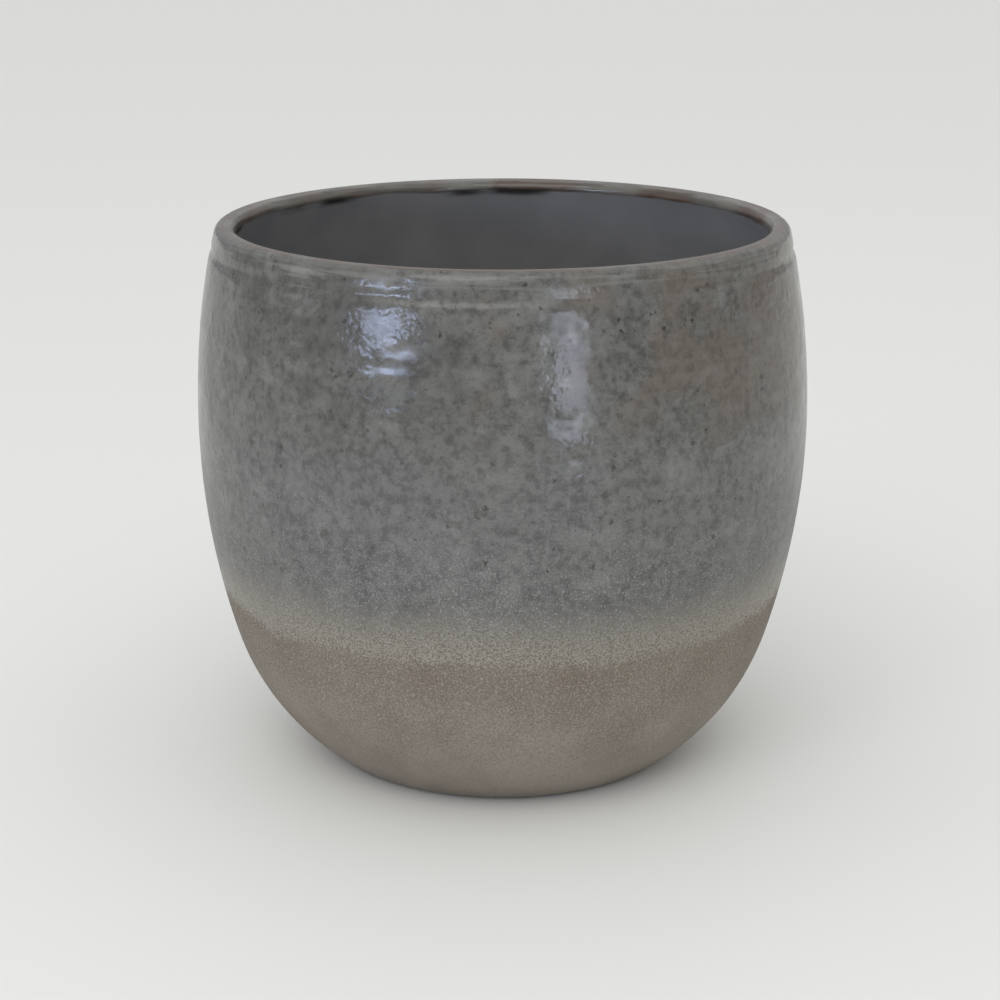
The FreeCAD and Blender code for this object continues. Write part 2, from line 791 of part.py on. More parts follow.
def make_lid():
    """Make the filler's lid, with its plug ring, finger tab and hinge knuckle, and the pin."""
    low = S["apart"]
    top = low + S["lid_thick"]
    edge = S["edge_break"]
    ring = S["fill_bore"] - S["lid_spigot_gap"]
    ring_bore = ring - S["lid_spigot_wall"]
    lid = turned("fill_lid", [
        (0, low),
        (ring_bore, low),
        (ring_bore, -S["lid_spigot"]),
        (ring, -S["lid_spigot"]),
        (ring, low),
        (lid_radius, low),
        (lid_radius, top - edge),
        (lid_radius - edge, top, edge, 1),
        (0, top),
    ], (0, fill_y, head_top))
    tab = new_sketch(lid, "finger_tab", "XY_Plane", low)
    half = S["tab_width"] / 2
    draw_outline(tab, box_corners(-half, lid_radius / 2, half, lid_radius + S["tab_reach"]))
    extrude(lid, tab, "PartDesign::Pad", S["tab_thick"])
    web = new_sketch(lid, "hinge_web", "YZ_Plane")
    draw_outline(web, box_corners(hinge_y, low, -lid_radius / 2, top))
    extrude(lid, web, "PartDesign::Pad", S["knuckle_width"], both_ways=True)
    knuckle = new_sketch(lid, "knuckle", "YZ_Plane")
    draw_circle(knuckle, hinge_y, hinge_z, S["knuckle_radius"])
    extrude(lid, knuckle, "PartDesign::Pad", S["knuckle_width"], both_ways=True)
    bore = new_sketch(lid, "knuckle_bore", "YZ_Plane")
    draw_circle(bore, hinge_y, hinge_z, S["pin_radius"] + S["running"])
    extrude(lid, bore, "PartDesign::Pocket", both_ways=True)

    pin = new_body("hinge_pin", (0, fill_y, head_top))
    section = new_sketch(pin, "pin_section", "YZ_Plane")
    draw_circle(section, hinge_y, hinge_z, S["pin_radius"])
    length = S["knuckle_width"] + S["ear_width"] * 2 - S["snug"] * 2
    extrude(pin, section, "PartDesign::Pad", length, both_ways=True)


# ---- Level gauge -----------------------------------------------------------------------------

cap_low = floor_level + S["chamber_floor_gap"]
cap_top = cap_low + S["cap_thick"]
float_low = cap_top + S["apart"]
float_top = float_low + S["float_tall"]
chamber_top = S["platform_level"] - S["snug"]
marker_low = head_top + S["marker_lift"]
marker_top = marker_low + S["marker_tall"]


def make_chamber():
    """Make the slotted chamber under the platform and the cap that holds the float in it."""
    wall = S["chamber_wall"]
    neck = gauge_radius + S["snug"]
    chamber = turned("float_chamber", [
        (chamber_bore, cap_top + S["snug"]),
        (chamber_radius, cap_top + S["snug"]),
        (chamber_radius, chamber_top),
        (neck, chamber_top),
        (neck, chamber_top - wall),
        (chamber_bore, chamber_top - wall),
    ], (0, gauge_y, 0))
    margin = S["chamber_slot_margin"]
    slot_wall(chamber, "chamber_slot", S["chamber_slot"], cap_low + margin, chamber_top - margin,
              CHAMBER_SLOTS)

    inner = chamber_radius + S["snug"]
    cap = turned("chamber_cap", [
        (S["cap_bore"], cap_low),
        (inner + wall, cap_low),
        (inner + wall, cap_low + S["cap_skirt"]),
        (inner, cap_low + S["cap_skirt"]),
        (inner, cap_top),
        (S["cap_bore"], cap_top),
    ], (0, gauge_y, 0))
    hole = new_sketch(cap, "cap_hole", "XY_Plane")
    draw_circle(hole, chamber_bore * S["cap_hole_share"], 0, S["chamber_slot"] / 2)
    cut = extrude(cap, hole, "PartDesign::Pocket", backwards=True)
    repeat_round(cap, cut, CHAMBER_SLOTS)


def make_float():
    """Make the float, the rod that stands in it and the marker on the rod's top."""
    rod_hole = S["rod_radius"] + S["running"] / 2
    rod_foot = float_top - S["rod_socket"]
    crown = S["float_crown"]
    edge = S["edge_break"]
    turned("float", [
        (0, float_low),
        (S["float_radius"] - crown, float_low),
        (S["float_radius"], float_low + crown, crown, 1),
        (S["float_radius"], float_top - crown),
        (S["float_radius"] - crown, float_top, crown, 1),
        (rod_hole, float_top),
        (rod_hole, rod_foot),
        (0, rod_foot),
    ], (0, gauge_y, 0))
    rod_top = marker_top - S["marker_cap"]
    foot = rod_foot + S["snug"]
    turned("float_rod", [
        (0, foot),
        (S["rod_radius"], foot),
        (S["rod_radius"], rod_top),
        (0, rod_top),
    ], (0, gauge_y, 0))
    turned("level_marker", [
        (rod_hole, marker_low),
        (S["marker_radius"], marker_low),
        (S["marker_radius"], marker_top - edge),
        (S["marker_radius"] - edge, marker_top, edge, 1),
        (0, marker_top),
        (0, rod_top + S["snug"]),
        (rod_hole, rod_top + S["snug"]),
    ], (0, gauge_y, 0))


def make_window():
    """Make the guide bush, the clear window over the marker and the ring that holds it down."""
    bush_bore = S["rod_radius"] + S["running"]
    bush_low = head_low + S["tube_engage"] / 2
    bush_flange = S["bush_radius"] + S["bush_flange"]
    turned("guide_bush", [
        (bush_bore, bush_low),
        (S["bush_radius"], bush_low),
        (S["bush_radius"], seat_level + S["snug"]),
        (bush_flange, seat_level + S["snug"]),
        (bush_flange, head_top - S["apart"]),
        (bush_bore, head_top - S["apart"]),
    ], (0, gauge_y, 0))

    radius = S["window_radius"]
    bore = radius - S["window_wall"]
    flange = window_flange
    low = seat_level + S["snug"]
    flange_top = head_top + S["apart"]
    inner_top = marker_top + S["float_travel"] + S["apart"] * 2
    top = inner_top + S["window_wall"]
    crown = S["window_crown"]
    turned("gauge_window", [
        (bore, low),
        (flange, low),
        (flange, flange_top),
        (radius, flange_top),
        (radius, top - crown),
        (radius - crown, top, crown, 1),
        (0, top),
        (0, inner_top),
        (bore - crown / 2, inner_top),
        (bore, inner_top - crown / 2, crown / 2, -1),
    ], (0, gauge_y, 0))

    ring_low = head_top + S["snug"]
    ring_top = ring_low + S["ring_tall"]
    edge = S["edge_break"]
    turned("window_ring", [
        (flange + S["snug"], ring_low),
        (window_ring_radius, ring_low),
        (window_ring_radius, ring_top - edge),
        (window_ring_radius - edge, ring_top),
        (radius + S["snug"], ring_top),
        (radius + S["snug"], flange_top + S["snug"]),
        (flange + S["snug"], flange_top + S["snug"]),
    ], (0, gauge_y, 0))


# ---- Build and write -------------------------------------------------------------------------

def write_parts():
    """Check every object, then write each body's solid to its own file."""
    doc.recompute()
    for item in doc.Objects:
        if "Invalid" in item.State or "Error" in item.State:
            raise RuntimeError(f"{item.Name} failed: {item.State}")
    bodies = [item for item in doc.Objects if item.TypeId == "PartDesign::Body"]
    for body in bodies:
        shape = body.Shape
        if shape.isNull() or not shape.isValid() or len(shape.Solids) != 1:
            raise RuntimeError(f"{body.Label} is not one valid solid")
    for body in bodies:
        body.Shape.exportStep(f"parts/{body.Label}.step")
    print(f"{len(bodies)} parts written")


def build():
    """Build every piece of the planter."""
    make_pot()
    make_pads()
    make_plug()
    make_platform()
    make_seal()
    make_legs()
    make_cups_and_wicks()
    make_fleece()
    make_tube("fill_tube", fill_y, S["fill_bore"], fill_radius, S["platform_level"] - S["fill_tube_drop"])
    make_tube("gauge_tube", gauge_y, S["gauge_bore"], gauge_radius, gauge_tube_low)
    make_collar("fill_collar", fill_y, fill_radius)
    make_collar("gauge_collar", gauge_y, gauge_radius)
    make_head()
    make_lid()
    make_chamber()
    make_float()
    make_window()
    write_parts()


build()
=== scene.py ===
"""Looks of the self-watering planter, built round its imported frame.

The stoneware pot, the fleece and the wicks are modelled here and stand for their plain solids. Every
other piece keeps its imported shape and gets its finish. Lengths inside the classes are millimetres
until a mesh is written, and metres from there on.
"""
import logging
import math
from dataclasses import dataclass
from enum import Enum
from typing import Iterable, Sequence

import bmesh
import bpy
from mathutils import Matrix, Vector, noise


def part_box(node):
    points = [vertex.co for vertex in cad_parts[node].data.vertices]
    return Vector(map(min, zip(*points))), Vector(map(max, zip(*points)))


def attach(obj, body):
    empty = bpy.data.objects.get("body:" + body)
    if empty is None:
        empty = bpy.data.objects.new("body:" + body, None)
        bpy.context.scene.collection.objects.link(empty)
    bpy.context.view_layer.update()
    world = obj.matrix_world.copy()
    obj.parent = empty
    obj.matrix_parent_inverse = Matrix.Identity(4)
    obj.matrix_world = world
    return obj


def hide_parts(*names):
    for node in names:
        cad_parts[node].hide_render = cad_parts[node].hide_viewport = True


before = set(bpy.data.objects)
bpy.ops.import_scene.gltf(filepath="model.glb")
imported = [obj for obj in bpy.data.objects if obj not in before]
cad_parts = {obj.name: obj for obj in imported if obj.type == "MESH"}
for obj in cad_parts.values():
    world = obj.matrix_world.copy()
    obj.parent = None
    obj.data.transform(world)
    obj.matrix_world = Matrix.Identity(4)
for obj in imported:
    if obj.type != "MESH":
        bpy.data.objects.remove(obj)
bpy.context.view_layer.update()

LOG = logging.getLogger("planter")
MM = 0.001
Value = object    # a node's socket, a colour chip or a plain number


class Body(Enum):
    """The bodies that pieces ride on."""

    POT = "pot"
    PLUG = "plug"
    INSERT = "insert"
    LID = "lid"
    FLOAT = "float"


class Slot(Enum):
    """The record's slot names for the new pieces; this script does not use them."""

    STONEWARE = "glazed_stoneware"
    FLEECE = "fleece"
    WICK = "wick_fibre"


# ---- Colour and material tools ----

@dataclass(frozen=True)
class Chip:
    """A colour chip, as three display values from 0 to 255."""

    red: float
    green: float
    blue: float

    def linear(self) -> tuple[float, float, float, float]:
        """Convert the chip for a shader.

        Returns:
            The linear colour, with an alpha of one.
        """
        values = []
        for display in (self.red / 255, self.green / 255, self.blue / 255):
            dark = display <= 0.04045
            values.append(display / 12.92 if dark else ((display + 0.055) / 1.055) ** 2.4)
        return (values[0], values[1], values[2], 1.0)


class Recipe:
    """A material's node tree, written one step at a time, with its patterns in millimetres."""

    def __init__(self, name: str, **fixed: Value) -> None:
        """Make the material.

        Args:
            name: the material's name.
            fixed: shader values that are the same all over, with underscores for spaces.
        """
        self.material = bpy.data.materials.new(name)
        self.material.use_nodes = True
        self.tree = self.material.node_tree
        self.tree.nodes.clear()
        self.shader = self.tree.nodes.new("ShaderNodeBsdfPrincipled")
        output = self.tree.nodes.new("ShaderNodeOutputMaterial")
        self.tree.links.new(self.shader.outputs["BSDF"], output.inputs["Surface"])
        for socket, value in fixed.items():
            self.shader.inputs[socket.replace("_", " ")].default_value = value
        place = self.tree.nodes.new("ShaderNodeTexCoord").outputs["Object"]
        self.place = self.stretch(place, (1 / MM, 1 / MM, 1 / MM))

    def add(self, kind: str, feeds: dict, **settings: Value) -> bpy.types.Node:
        """Add a node.

        Args:
            kind: the node's type.
            feeds: what goes into each input, by its name or number.
            settings: the node's own settings.

        Returns:
            The new node.
        """
        node = self.tree.nodes.new(kind)
        for key, value in settings.items():
            setattr(node, key, value)
        for socket, value in feeds.items():
            self.feed(node.inputs[socket], value)
        return node

    def feed(self, socket: bpy.types.NodeSocket, value: Value) -> None:
        """Link a socket to another, or set it to a colour chip or a plain value.

        Args:
            socket: the input.
            value: what goes into it.
        """
        if isinstance(value, bpy.types.NodeSocket):
            self.tree.links.new(value, socket)
        else:
            socket.default_value = value.linear() if isinstance(value, Chip) else value

    def stretch(self, place: Value, scale: Sequence[float]) -> Value:
        """Return a place with its three axes scaled."""
        feeds = {"Vector": place, "Scale": tuple(scale)}
        return self.add("ShaderNodeMapping", feeds, vector_type="POINT").outputs["Vector"]

    def axis(self, name: str) -> Value:
        """Return X, Y or Z of the place in millimetres."""
        return self.add("ShaderNodeSeparateXYZ", {"Vector": self.place}).outputs[name]

    def attribute(self, name: str) -> Value:
        """Return a number that is stored on the mesh's points."""
        return self.add("ShaderNodeAttribute", {}, attribute_name=name).outputs["Fac"]

    def maths(self, operation: str, *values: Value) -> Value:
        """Return the result of a Math node."""
        return self.add("ShaderNodeMath", dict(enumerate(values)), operation=operation).outputs[0]

    def times(self, first: Value, second: Value) -> Value:
        """Return the product of two values."""
        return self.maths("MULTIPLY", first, second)

    def rest(self, value: Value) -> Value:
        """Return what a value leaves of 1."""
        return self.maths("SUBTRACT", 1.0, value)

    def cloud(self, size: float, detail: float = 2.0, rough: float = 0.5, place: Value = None,
              twist: float = 0.0) -> Value:
        """Return a soft noise.

        Args:
            size: the size of its patches in millimetres.
            detail: how many finer layers it has.
            rough: how strong the finer layers are.
            place: where it is read, the mesh's own place where none is given.
            twist: how far the patches are distorted.

        Returns:
            The noise, about 0.5.
        """
        feeds = {"Vector": place or self.place, "Scale": 1 / size, "Detail": detail,
                 "Roughness": rough, "Distortion": twist}
        return self.add("ShaderNodeTexNoise", feeds).outputs["Fac"]

    def step(self, value: Value, low: float, high: float) -> Value:
        """Return 0 below low and 1 above high, with a smooth change between them."""
        feeds = {"Value": value, "From Min": low, "From Max": high}
        return self.add("ShaderNodeMapRange", feeds, interpolation_type="SMOOTHSTEP").outputs["Result"]

    def band(self, value: Value, middle: float, half: float) -> Value:
        """Return 1 at the middle of a band, fading to 0 at half its width each side."""
        off = self.maths("ABSOLUTE", self.maths("SUBTRACT", value, middle))
        return self.rest(self.step(off, 0.0, half))

    def specks(self, pitch: float, share: float, reach: float, ragged: Value = None) -> Value:
        """Return scattered specks.

        Args:
            pitch: the spacing of the cells that may hold a speck, in millimetres.
            share: the share of the cells that hold one.
            reach: the largest speck's radius as a share of the pitch.
            ragged: a noise that makes their outlines irregular, round where none is given.

        Returns:
            1 inside a speck and 0 outside it.
        """
        cells = self.add("ShaderNodeTexVoronoi", {"Vector": self.place, "Scale": 1 / pitch})
        draw = self.add("ShaderNodeSeparateColor", {"Color": cells.outputs["Color"]})
        chosen = self.maths("LESS_THAN", draw.outputs["Red"], share)
        radius = self.maths("MULTIPLY_ADD", draw.outputs["Green"], reach * 0.6, reach * 0.4)
        depth = self.maths("DIVIDE", cells.outputs["Distance"], radius)
        if ragged is not None:
            depth = self.maths("MULTIPLY_ADD", self.maths("SUBTRACT", ragged, 0.5), 3.0, depth)
        return self.times(chosen, self.rest(self.step(depth, 0.45, 1.0)))

    def blend(self, share: Value, first: Value, second: Value) -> Value:
        """Return the first colour where share is 0 and the second where it is 1."""
        feeds = {0: share, 6: first, 7: second}
        return self.add("ShaderNodeMix", feeds, data_type="RGBA").outputs[2]

    def coats(self, base: Value, *layers: tuple[Value, float, Value]) -> Value:
        """Lay colours over a base, one after another.

        Args:
            base: the colour underneath.
            layers: where each one lies, from 0 to 1, how strong it is, and its colour.

        Returns:
            The colour on top.
        """
        for cover, strength, colour in layers:
            base = self.blend(cover if strength == 1.0 else self.times(cover, strength), base, colour)
        return base

    def total(self, *terms: tuple[Value, Value]) -> Value:
        """Add values up.

        Args:
            terms: each value and its weight.

        Returns:
            The sum of each value times its weight.
        """
        result = 0.0
        for value, weight in terms:
            result = self.maths("MULTIPLY_ADD", value, weight, result)
        return result

    def finish(self, colour: Value, roughness: Value, height: Value) -> bpy.types.Material:
        """Join the colour, the roughness and a height in millimetres to the shader.

        Args:
            colour: the base colour, or a chip where it is the same all over.
            roughness: the roughness, or a number where it is the same all over.
            height: the relief in millimetres.

        Returns:
            The finished material.
        """
        bump = self.add("ShaderNodeBump", {"Height": height, "Distance": MM, "Strength": 1.0})
        for socket, value in (("Base Color", colour), ("Roughness", roughness),
                              ("Normal", bump.outputs["Normal"])):
            self.feed(self.shader.inputs[socket], value)
        return self.material


# ---- Finishes ----

@dataclass(frozen=True)
class ReactiveGlaze:
    """The pot's finish: two glaze coats over bare clay, a brown lip and a dark inside coat, with painted
    shade on the upper coat's left side and a painted highlight line inside the lip's crest.
    """

    clay_line: float = 59.0
    sand_line: float = 64.0
    fade_top: float = 94.0
    upper_edge: float = 124.0
    lip_attribute: str = "past_lip"
    clay: Chip = Chip(146, 138, 127)
    clay_dark: Chip = Chip(108, 97, 85)
    clay_light: Chip = Chip(178, 170, 157)
    sand: Chip = Chip(148, 143, 131)
    sand_dark: Chip = Chip(104, 98, 88)
    lower: Chip = Chip(105, 104, 101)
    lower_dark: Chip = Chip(78, 77, 75)
    lower_light: Chip = Chip(131, 130, 126)
    upper: Chip = Chip(100, 99, 95)
    upper_dark: Chip = Chip(71, 69, 65)
    upper_light: Chip = Chip(124, 123, 118)
    rust: Chip = Chip(101, 88, 75)
    iron: Chip = Chip(52, 48, 44)
    crystal: Chip = Chip(182, 181, 176)
    lip_brown: Chip = Chip(84, 65, 54)
    lip_olive: Chip = Chip(108, 105, 97)
    inside: Chip = Chip(121, 120, 120)
    inside_dark: Chip = Chip(108, 108, 109)
    black: Chip = Chip(28, 26, 25)

    def material(self) -> bpy.types.Material:
        """Mix the finish.

        Returns:
            The pot's material.
        """
        mix = Recipe("reactive_glaze", IOR=1.5)
        level, lip = mix.axis("Z"), mix.attribute(self.lip_attribute)
        grain = mix.cloud(0.6, 2.0, 0.7)
        fine = mix.maths("SUBTRACT", grain, 0.5)
        mottle = mix.cloud(3.0, 5.0, 0.68)
        drift = mix.cloud(15.0, 3.0, 0.5)
        wander = mix.total((mix.cloud(34.0, 2.0), 9.0), (mix.cloud(3.0, 3.0), 2.6), (-5.8, 1.0))
        wavy = mix.maths("ADD", level, wander)
        grainy = mix.maths("MULTIPLY_ADD", fine, 14.0, wavy)

        bare = self._clay(mix, wavy, grain)
        lower = self._lower_coat(mix, mottle, drift, grain, wavy)
        upper, gloss = self._upper_coat(mix, level, mottle, drift, grain)
        dip = mix.total((mix.cloud(60.0, 1.0), 34.0), (mix.cloud(5.0, 2.0), 2.0), (-18.0, 1.0))
        coat_level = mix.maths("ADD", level, dip)
        sharp = mix.step(coat_level, self.upper_edge - 0.5, self.upper_edge + 0.6)
        soft = mix.step(coat_level, self.upper_edge - 9.0, self.upper_edge + 9.0)
        side = mix.step(mix.total((mix.axis("X"), 1.0), (mix.cloud(40.0, 1.0), 60.0)), 40.0, 66.0)
        over = mix.total((soft, 1.0), (mix.times(mix.maths("SUBTRACT", sharp, soft), side), 0.8))
        coats = mix.blend(over, lower, upper)

        dusty = mix.maths("MULTIPLY_ADD", fine, 42.0, wavy)
        sandy = mix.blend(mix.step(grain, 0.38, 0.6), self.sand_dark, self.sand)
        glaze = mix.blend(mix.step(dusty, self.sand_line, self.sand_line + 15.0), sandy, coats)
        glazed = mix.step(grainy, self.clay_line - 1.8, self.clay_line + 1.8)
        colour = mix.blend(glazed, bare, glaze)
        colour, dull = self._lip_and_inside(mix, colour, lip)

        satin = mix.total((mix.step(level, 76.0, 128.0), -0.22), (0.42, 1.0),
                          (mix.maths("SUBTRACT", mottle, 0.5), 0.16), (gloss, -0.05))
        rough = mix.total((mix.rest(glazed), 0.46), (satin, 1.0))
        rough = mix.maths("MAXIMUM", rough, mix.times(dull, 0.58))
        return mix.finish(colour, rough, self._relief(mix, glazed, dull, grain, level))

    def _clay(self, mix: Recipe, wavy: Value, grain: Value) -> Value:
        """Colour the bare clay, with sand in two sizes and a darker band at its top.

        Args:
            mix: the material.
            wavy: the height on the pot, made wavy.
            grain: the fine sand.

        Returns:
            The clay's colour.
        """
        strong = mix.step(wavy, 0.0, 55.0)
        body = mix.blend(mix.step(mix.cloud(24.0, 3.0), -0.1, 0.75), self.clay_dark, self.clay)
        light = mix.times(mix.step(grain, 0.5, 0.72), mix.total((strong, 0.35), (0.3, 1.0)))
        dark = mix.times(mix.step(grain, 0.49, 0.34), mix.total((strong, 0.5), (0.35, 1.0)))
        # the bare clay is darker towards its top, under the belly
        return mix.coats(body, (mix.step(wavy, 26.0, 56.0), 0.5, self.clay_dark),
                         (light, 1.0, self.clay_light), (dark, 1.0, self.clay_dark),
                         (mix.specks(1.7, 0.3, 0.2), 0.6, self.clay_dark))

    def _lower_coat(self, mix: Recipe, mottle: Value, drift: Value, grain: Value,
                    wavy: Value) -> Value:
        """Colour the lower coat: an even grey, with more grain towards its edge.

        Args:
            mix: the material.
            mottle: the small patches.
            drift: the large patches.
            grain: the fine sand.
            wavy: the height on the pot, made wavy.

        Returns:
            The coat's colour.
        """
        thin = mix.rest(mix.step(wavy, self.sand_line, self.fade_top + 26.0))
        amount = mix.total((thin, 0.7), (0.14, 1.0))
        return mix.coats(
            mix.blend(mix.step(mottle, 0.33, 0.62), self.lower_dark, self.lower),
            (mix.step(drift, 0.48, 0.75), 0.4, self.lower_light),
            (mix.times(mix.step(grain, 0.48, 0.32), amount), 1.0, self.lower_dark),
            (mix.times(mix.step(grain, 0.53, 0.7), mix.times(amount, 0.6)), 1.0, self.crystal),
            (mix.specks(7.0, 0.45, 0.3, mottle), 0.35, self.iron),
            (mix.specks(2.6, 0.3, 0.22, grain), 0.5, self.iron),
            (mix.specks(6.2, 0.5, 0.19, grain), 0.85, self.iron),
            (mix.specks(6.0, 0.3, 0.04), 1.0, self.crystal))

    def _upper_coat(self, mix: Recipe, level: Value, mottle: Value, drift: Value,
                    grain: Value) -> tuple[Value, Value]:
        """Colour the upper coat: clouds, painted shade on its left side, drawn lines, rust towards the lip
        and iron specks.

        Args:
            mix: the material.
            level: the height on the pot.
            mottle: the small patches.
            drift: the large patches.
            grain: the fine sand.

        Returns:
            The coat's colour, and how glossy its patches are.
        """
        patches = mix.step(mix.cloud(9.0, 4.0, 0.55), 0.5, 0.68)
        # random dark clouds, plus painted shade: the clouds grow towards the pot's left side (negative X)
        painted_left_shade_and_clouds = mix.total((mix.cloud(22.0, 4.0, 0.6), 1.0), (mix.axis("X"), -0.0009))
        lines = mix.cloud(2.2, 3.0, 0.6, mix.stretch(mix.place, (0.12, 0.12, 1.0)))
        side = mix.total((mix.axis("X"), 0.0026), (drift, 1.0))
        crowd = mix.step(mix.cloud(20.0, 2.0), 0.3, 0.55)
        body = mix.coats(
            mix.blend(mix.step(mottle, 0.32, 0.6), self.upper_dark, self.upper),
            (patches, 0.5, self.upper_light),
            (mix.step(grain, 0.47, 0.33), 0.35, self.upper_dark),
            (mix.step(painted_left_shade_and_clouds, 0.5, 0.64), 0.45, self.upper_dark),
            (mix.step(lines, 0.58, 0.7), 0.3, self.upper_dark),
            (mix.times(mix.step(side, 0.5, 0.75), mix.step(level, 112.0, 140.0)), 0.42, self.rust),
            (mix.times(mix.specks(2.2, 0.45, 0.25, grain), crowd), 0.7, self.iron),
            (mix.times(mix.specks(4.6, 0.55, 0.24, grain), crowd), 0.95, self.iron))
        return body, patches

    def _lip_and_inside(self, mix: Recipe, colour: Value, lip: Value) -> tuple[Value, Value]:
        """Lay the brown lip, with a painted highlight line just inside its crest, and the inside coat over
        the outside.

        Args:
            mix: the material.
            colour: the outside's colour.
            lip: the run past the lip's crest.

        Returns:
            The colour with both, and where the inside coat is.
        """
        edge = mix.maths("ADD", lip, mix.total((mix.cloud(14.0, 3.0), 2.0), (-1.0, 1.0)))
        streaks = mix.cloud(1.3, 2.0, 0.5, mix.stretch(mix.place, (0.06, 0.06, 1.0)))
        pale = mix.times(mix.band(edge, -5.5, 4.0), mix.step(streaks, 0.4, 0.62))
        rim_with_painted_highlight = mix.coats(
            mix.blend(mix.step(mix.cloud(30.0, 2.0), 0.42, 0.6), self.lip_brown, self.lip_olive),
            # painted highlight: a pale line just inside the lip's crest
            (mix.band(edge, 1.6, 0.9), 0.6, self.upper_light),
            (mix.step(streaks, 0.5, 0.36), 0.5, self.iron),
            (mix.band(edge, -0.7, 1.0), 0.85, self.lip_brown))
        coat = mix.coats(
            mix.blend(mix.step(mix.cloud(22.0, 4.0), 0.25, 0.8), self.inside_dark, self.inside),
            (mix.specks(3.0, 0.22, 0.1), 0.6, self.black))
        dull = mix.step(edge, 5.0, 6.0)
        # a thin, patchy black band a few millimetres inside the lip's crest
        dark_band_inside_lip = mix.times(mix.band(edge, 6.0, 2.2), mix.step(mix.cloud(50.0, 2.0), 0.5, 0.56))
        colour = mix.coats(colour, (pale, 0.6, self.upper_light), (mix.step(edge, -2.6, -1.4), 0.85, rim_with_painted_highlight),
                           (dull, 1.0, coat), (dark_band_inside_lip, 1.0, self.black))
        return colour, dull

    def _relief(self, mix: Recipe, glazed: Value, dull: Value, grain: Value, level: Value) -> Value:
        """Raise throwing lines, wavy glaze, pinholes and sandy clay.

        Args:
            mix: the material.
            glazed: where the glaze is.
            dull: where the inside coat is.
            grain: the fine sand.
            level: the height on the pot.

        Returns:
            The relief in millimetres.
        """
        lines = mix.cloud(2.6, 1.0, 0.4, mix.stretch(mix.place, (0.04, 0.04, 1.0)))
        wave = mix.cloud(6.5, 1.0, 0.4, mix.stretch(mix.place, (1.0, 1.0, 1.4)))
        restless = mix.step(mix.cloud(11.0, 1.0), 0.46, 0.62)
        wet = mix.times(glazed, mix.rest(dull))
        swirl = mix.times(mix.cloud(2.0, 1.0, 0.4), mix.times(restless, wet))
        sand = mix.times(grain, mix.rest(glazed))
        thin = mix.times(grain, mix.step(level, 105.0, 60.0))
        return mix.total((lines, 0.05), (mix.times(wave, wet), 0.22), (swirl, 0.16), (sand, 0.3),
                         (thin, 0.12), (mix.specks(6.0, 0.35, 0.06), -0.1),
                         (mix.times(grain, dull), 0.05))


@dataclass(frozen=True)
class MouldedPlastic:
    """A moulded plastic with a fine spark texture, faint flow marks and light scuffs."""

    name: str
    chip: Chip
    roughness: float = 0.45
    texture: float = 0.02
    scuffs: float = 0.35

    def material(self) -> bpy.types.Material:
        """Mix the finish.

        Returns:
            The plastic's material.
        """
        mix = Recipe(self.name, IOR=1.49)
        flow = mix.cloud(18.0, 3.0, twist=0.7)
        spark = mix.cloud(0.42, 2.0, 0.6)
        scratch = mix.cloud(1.1, 4.0, 0.7, mix.stretch(mix.place, (1.0, 0.06, 0.12)))
        marks = mix.times(mix.step(scratch, 0.62, 0.74), self.scuffs)
        base = self.chip
        deep = Chip(base.red * 0.86, base.green * 0.86, base.blue * 0.87)
        worn = Chip(min(base.red * 1.22 + 12, 255), min(base.green * 1.22 + 12, 255),
                    min(base.blue * 1.2 + 12, 255))
        colour = mix.coats(mix.blend(mix.step(flow, 0.3, 0.7), deep, base),
                           (mix.step(spark, 0.55, 0.8), 0.25, worn), (marks, 1.0, worn),
                           (mix.specks(4.0, 0.12, 0.05), 0.5, worn))
        rough = mix.total((self.roughness, 1.0), (mix.maths("SUBTRACT", flow, 0.5), 0.16), (marks, 0.25))
        return mix.finish(colour, rough, mix.total((spark, self.texture), (scratch, -0.006)))


@dataclass(frozen=True)
class SoftRubber:
    """A moulded rubber with a dull bloom and a fine skin."""

    name: str
    chip: Chip
    roughness: float = 0.68

    def material(self) -> bpy.types.Material:
        """Mix the finish.

        Returns:
            The rubber's material.
        """
        mix = Recipe(self.name, IOR=1.52)
        bloom = mix.cloud(7.0, 4.0, 0.6)
        skin = mix.cloud(0.3, 2.0, 0.6)
        base = self.chip
        chalky = Chip(base.red * 0.8 + 34, base.green * 0.8 + 34, base.blue * 0.8 + 34)
        colour = mix.coats(base, (mix.step(bloom, 0.45, 0.75), 0.5, chalky),
                           (mix.specks(2.4, 0.14, 0.08), 0.6, chalky))
        rough = mix.total((self.roughness, 1.0), (mix.maths("SUBTRACT", bloom, 0.5), 0.3))
        return mix.finish(colour, rough, mix.total((skin, 0.02), (bloom, 0.03)))


@dataclass(frozen=True)
class DrawnSteel:
    """Bright drawn wire, with its drawing lines along one axis."""

    name: str
    along: tuple[float, float, float]

    def material(self) -> bpy.types.Material:
        """Mix the finish.

        Returns:
            The steel's material.
        """
        mix = Recipe(self.name, Metallic=1.0)
        lines = mix.cloud(0.16, 2.0, 0.6, mix.stretch(mix.place, self.along))
        tarnish = mix.cloud(6.0, 4.0, 0.6)
        colour = mix.blend(mix.step(tarnish, 0.35, 0.7), Chip(176, 174, 170), Chip(203, 203, 201))
        rough = mix.total((0.2, 1.0), (lines, 0.16), (tarnish, 0.06))
        return mix.finish(colour, rough, mix.total((lines, 0.008)))


@dataclass(frozen=True)
class ClearMoulding:
    """The gauge window's clear plastic, with faint flow waves and specks of dust."""

    name: str = "clear_moulding"

    def material(self) -> bpy.types.Material:
        """Mix the finish.

        Returns:
            The clear plastic's material.
        """
        mix = Recipe(self.name, IOR=1.49, Transmission_Weight=1.0)
        flow = mix.cloud(3.0, 2.0, 0.5)
        dust = mix.specks(1.6, 0.1, 0.06)
        colour = mix.coats(Chip(250, 252, 252), (dust, 0.5, Chip(214, 216, 214)))
        rough = mix.total((0.03, 1.0), (mix.times(flow, flow), 0.08), (dust, 0.3))
        return mix.finish(colour, rough, mix.total((flow, 0.03)))


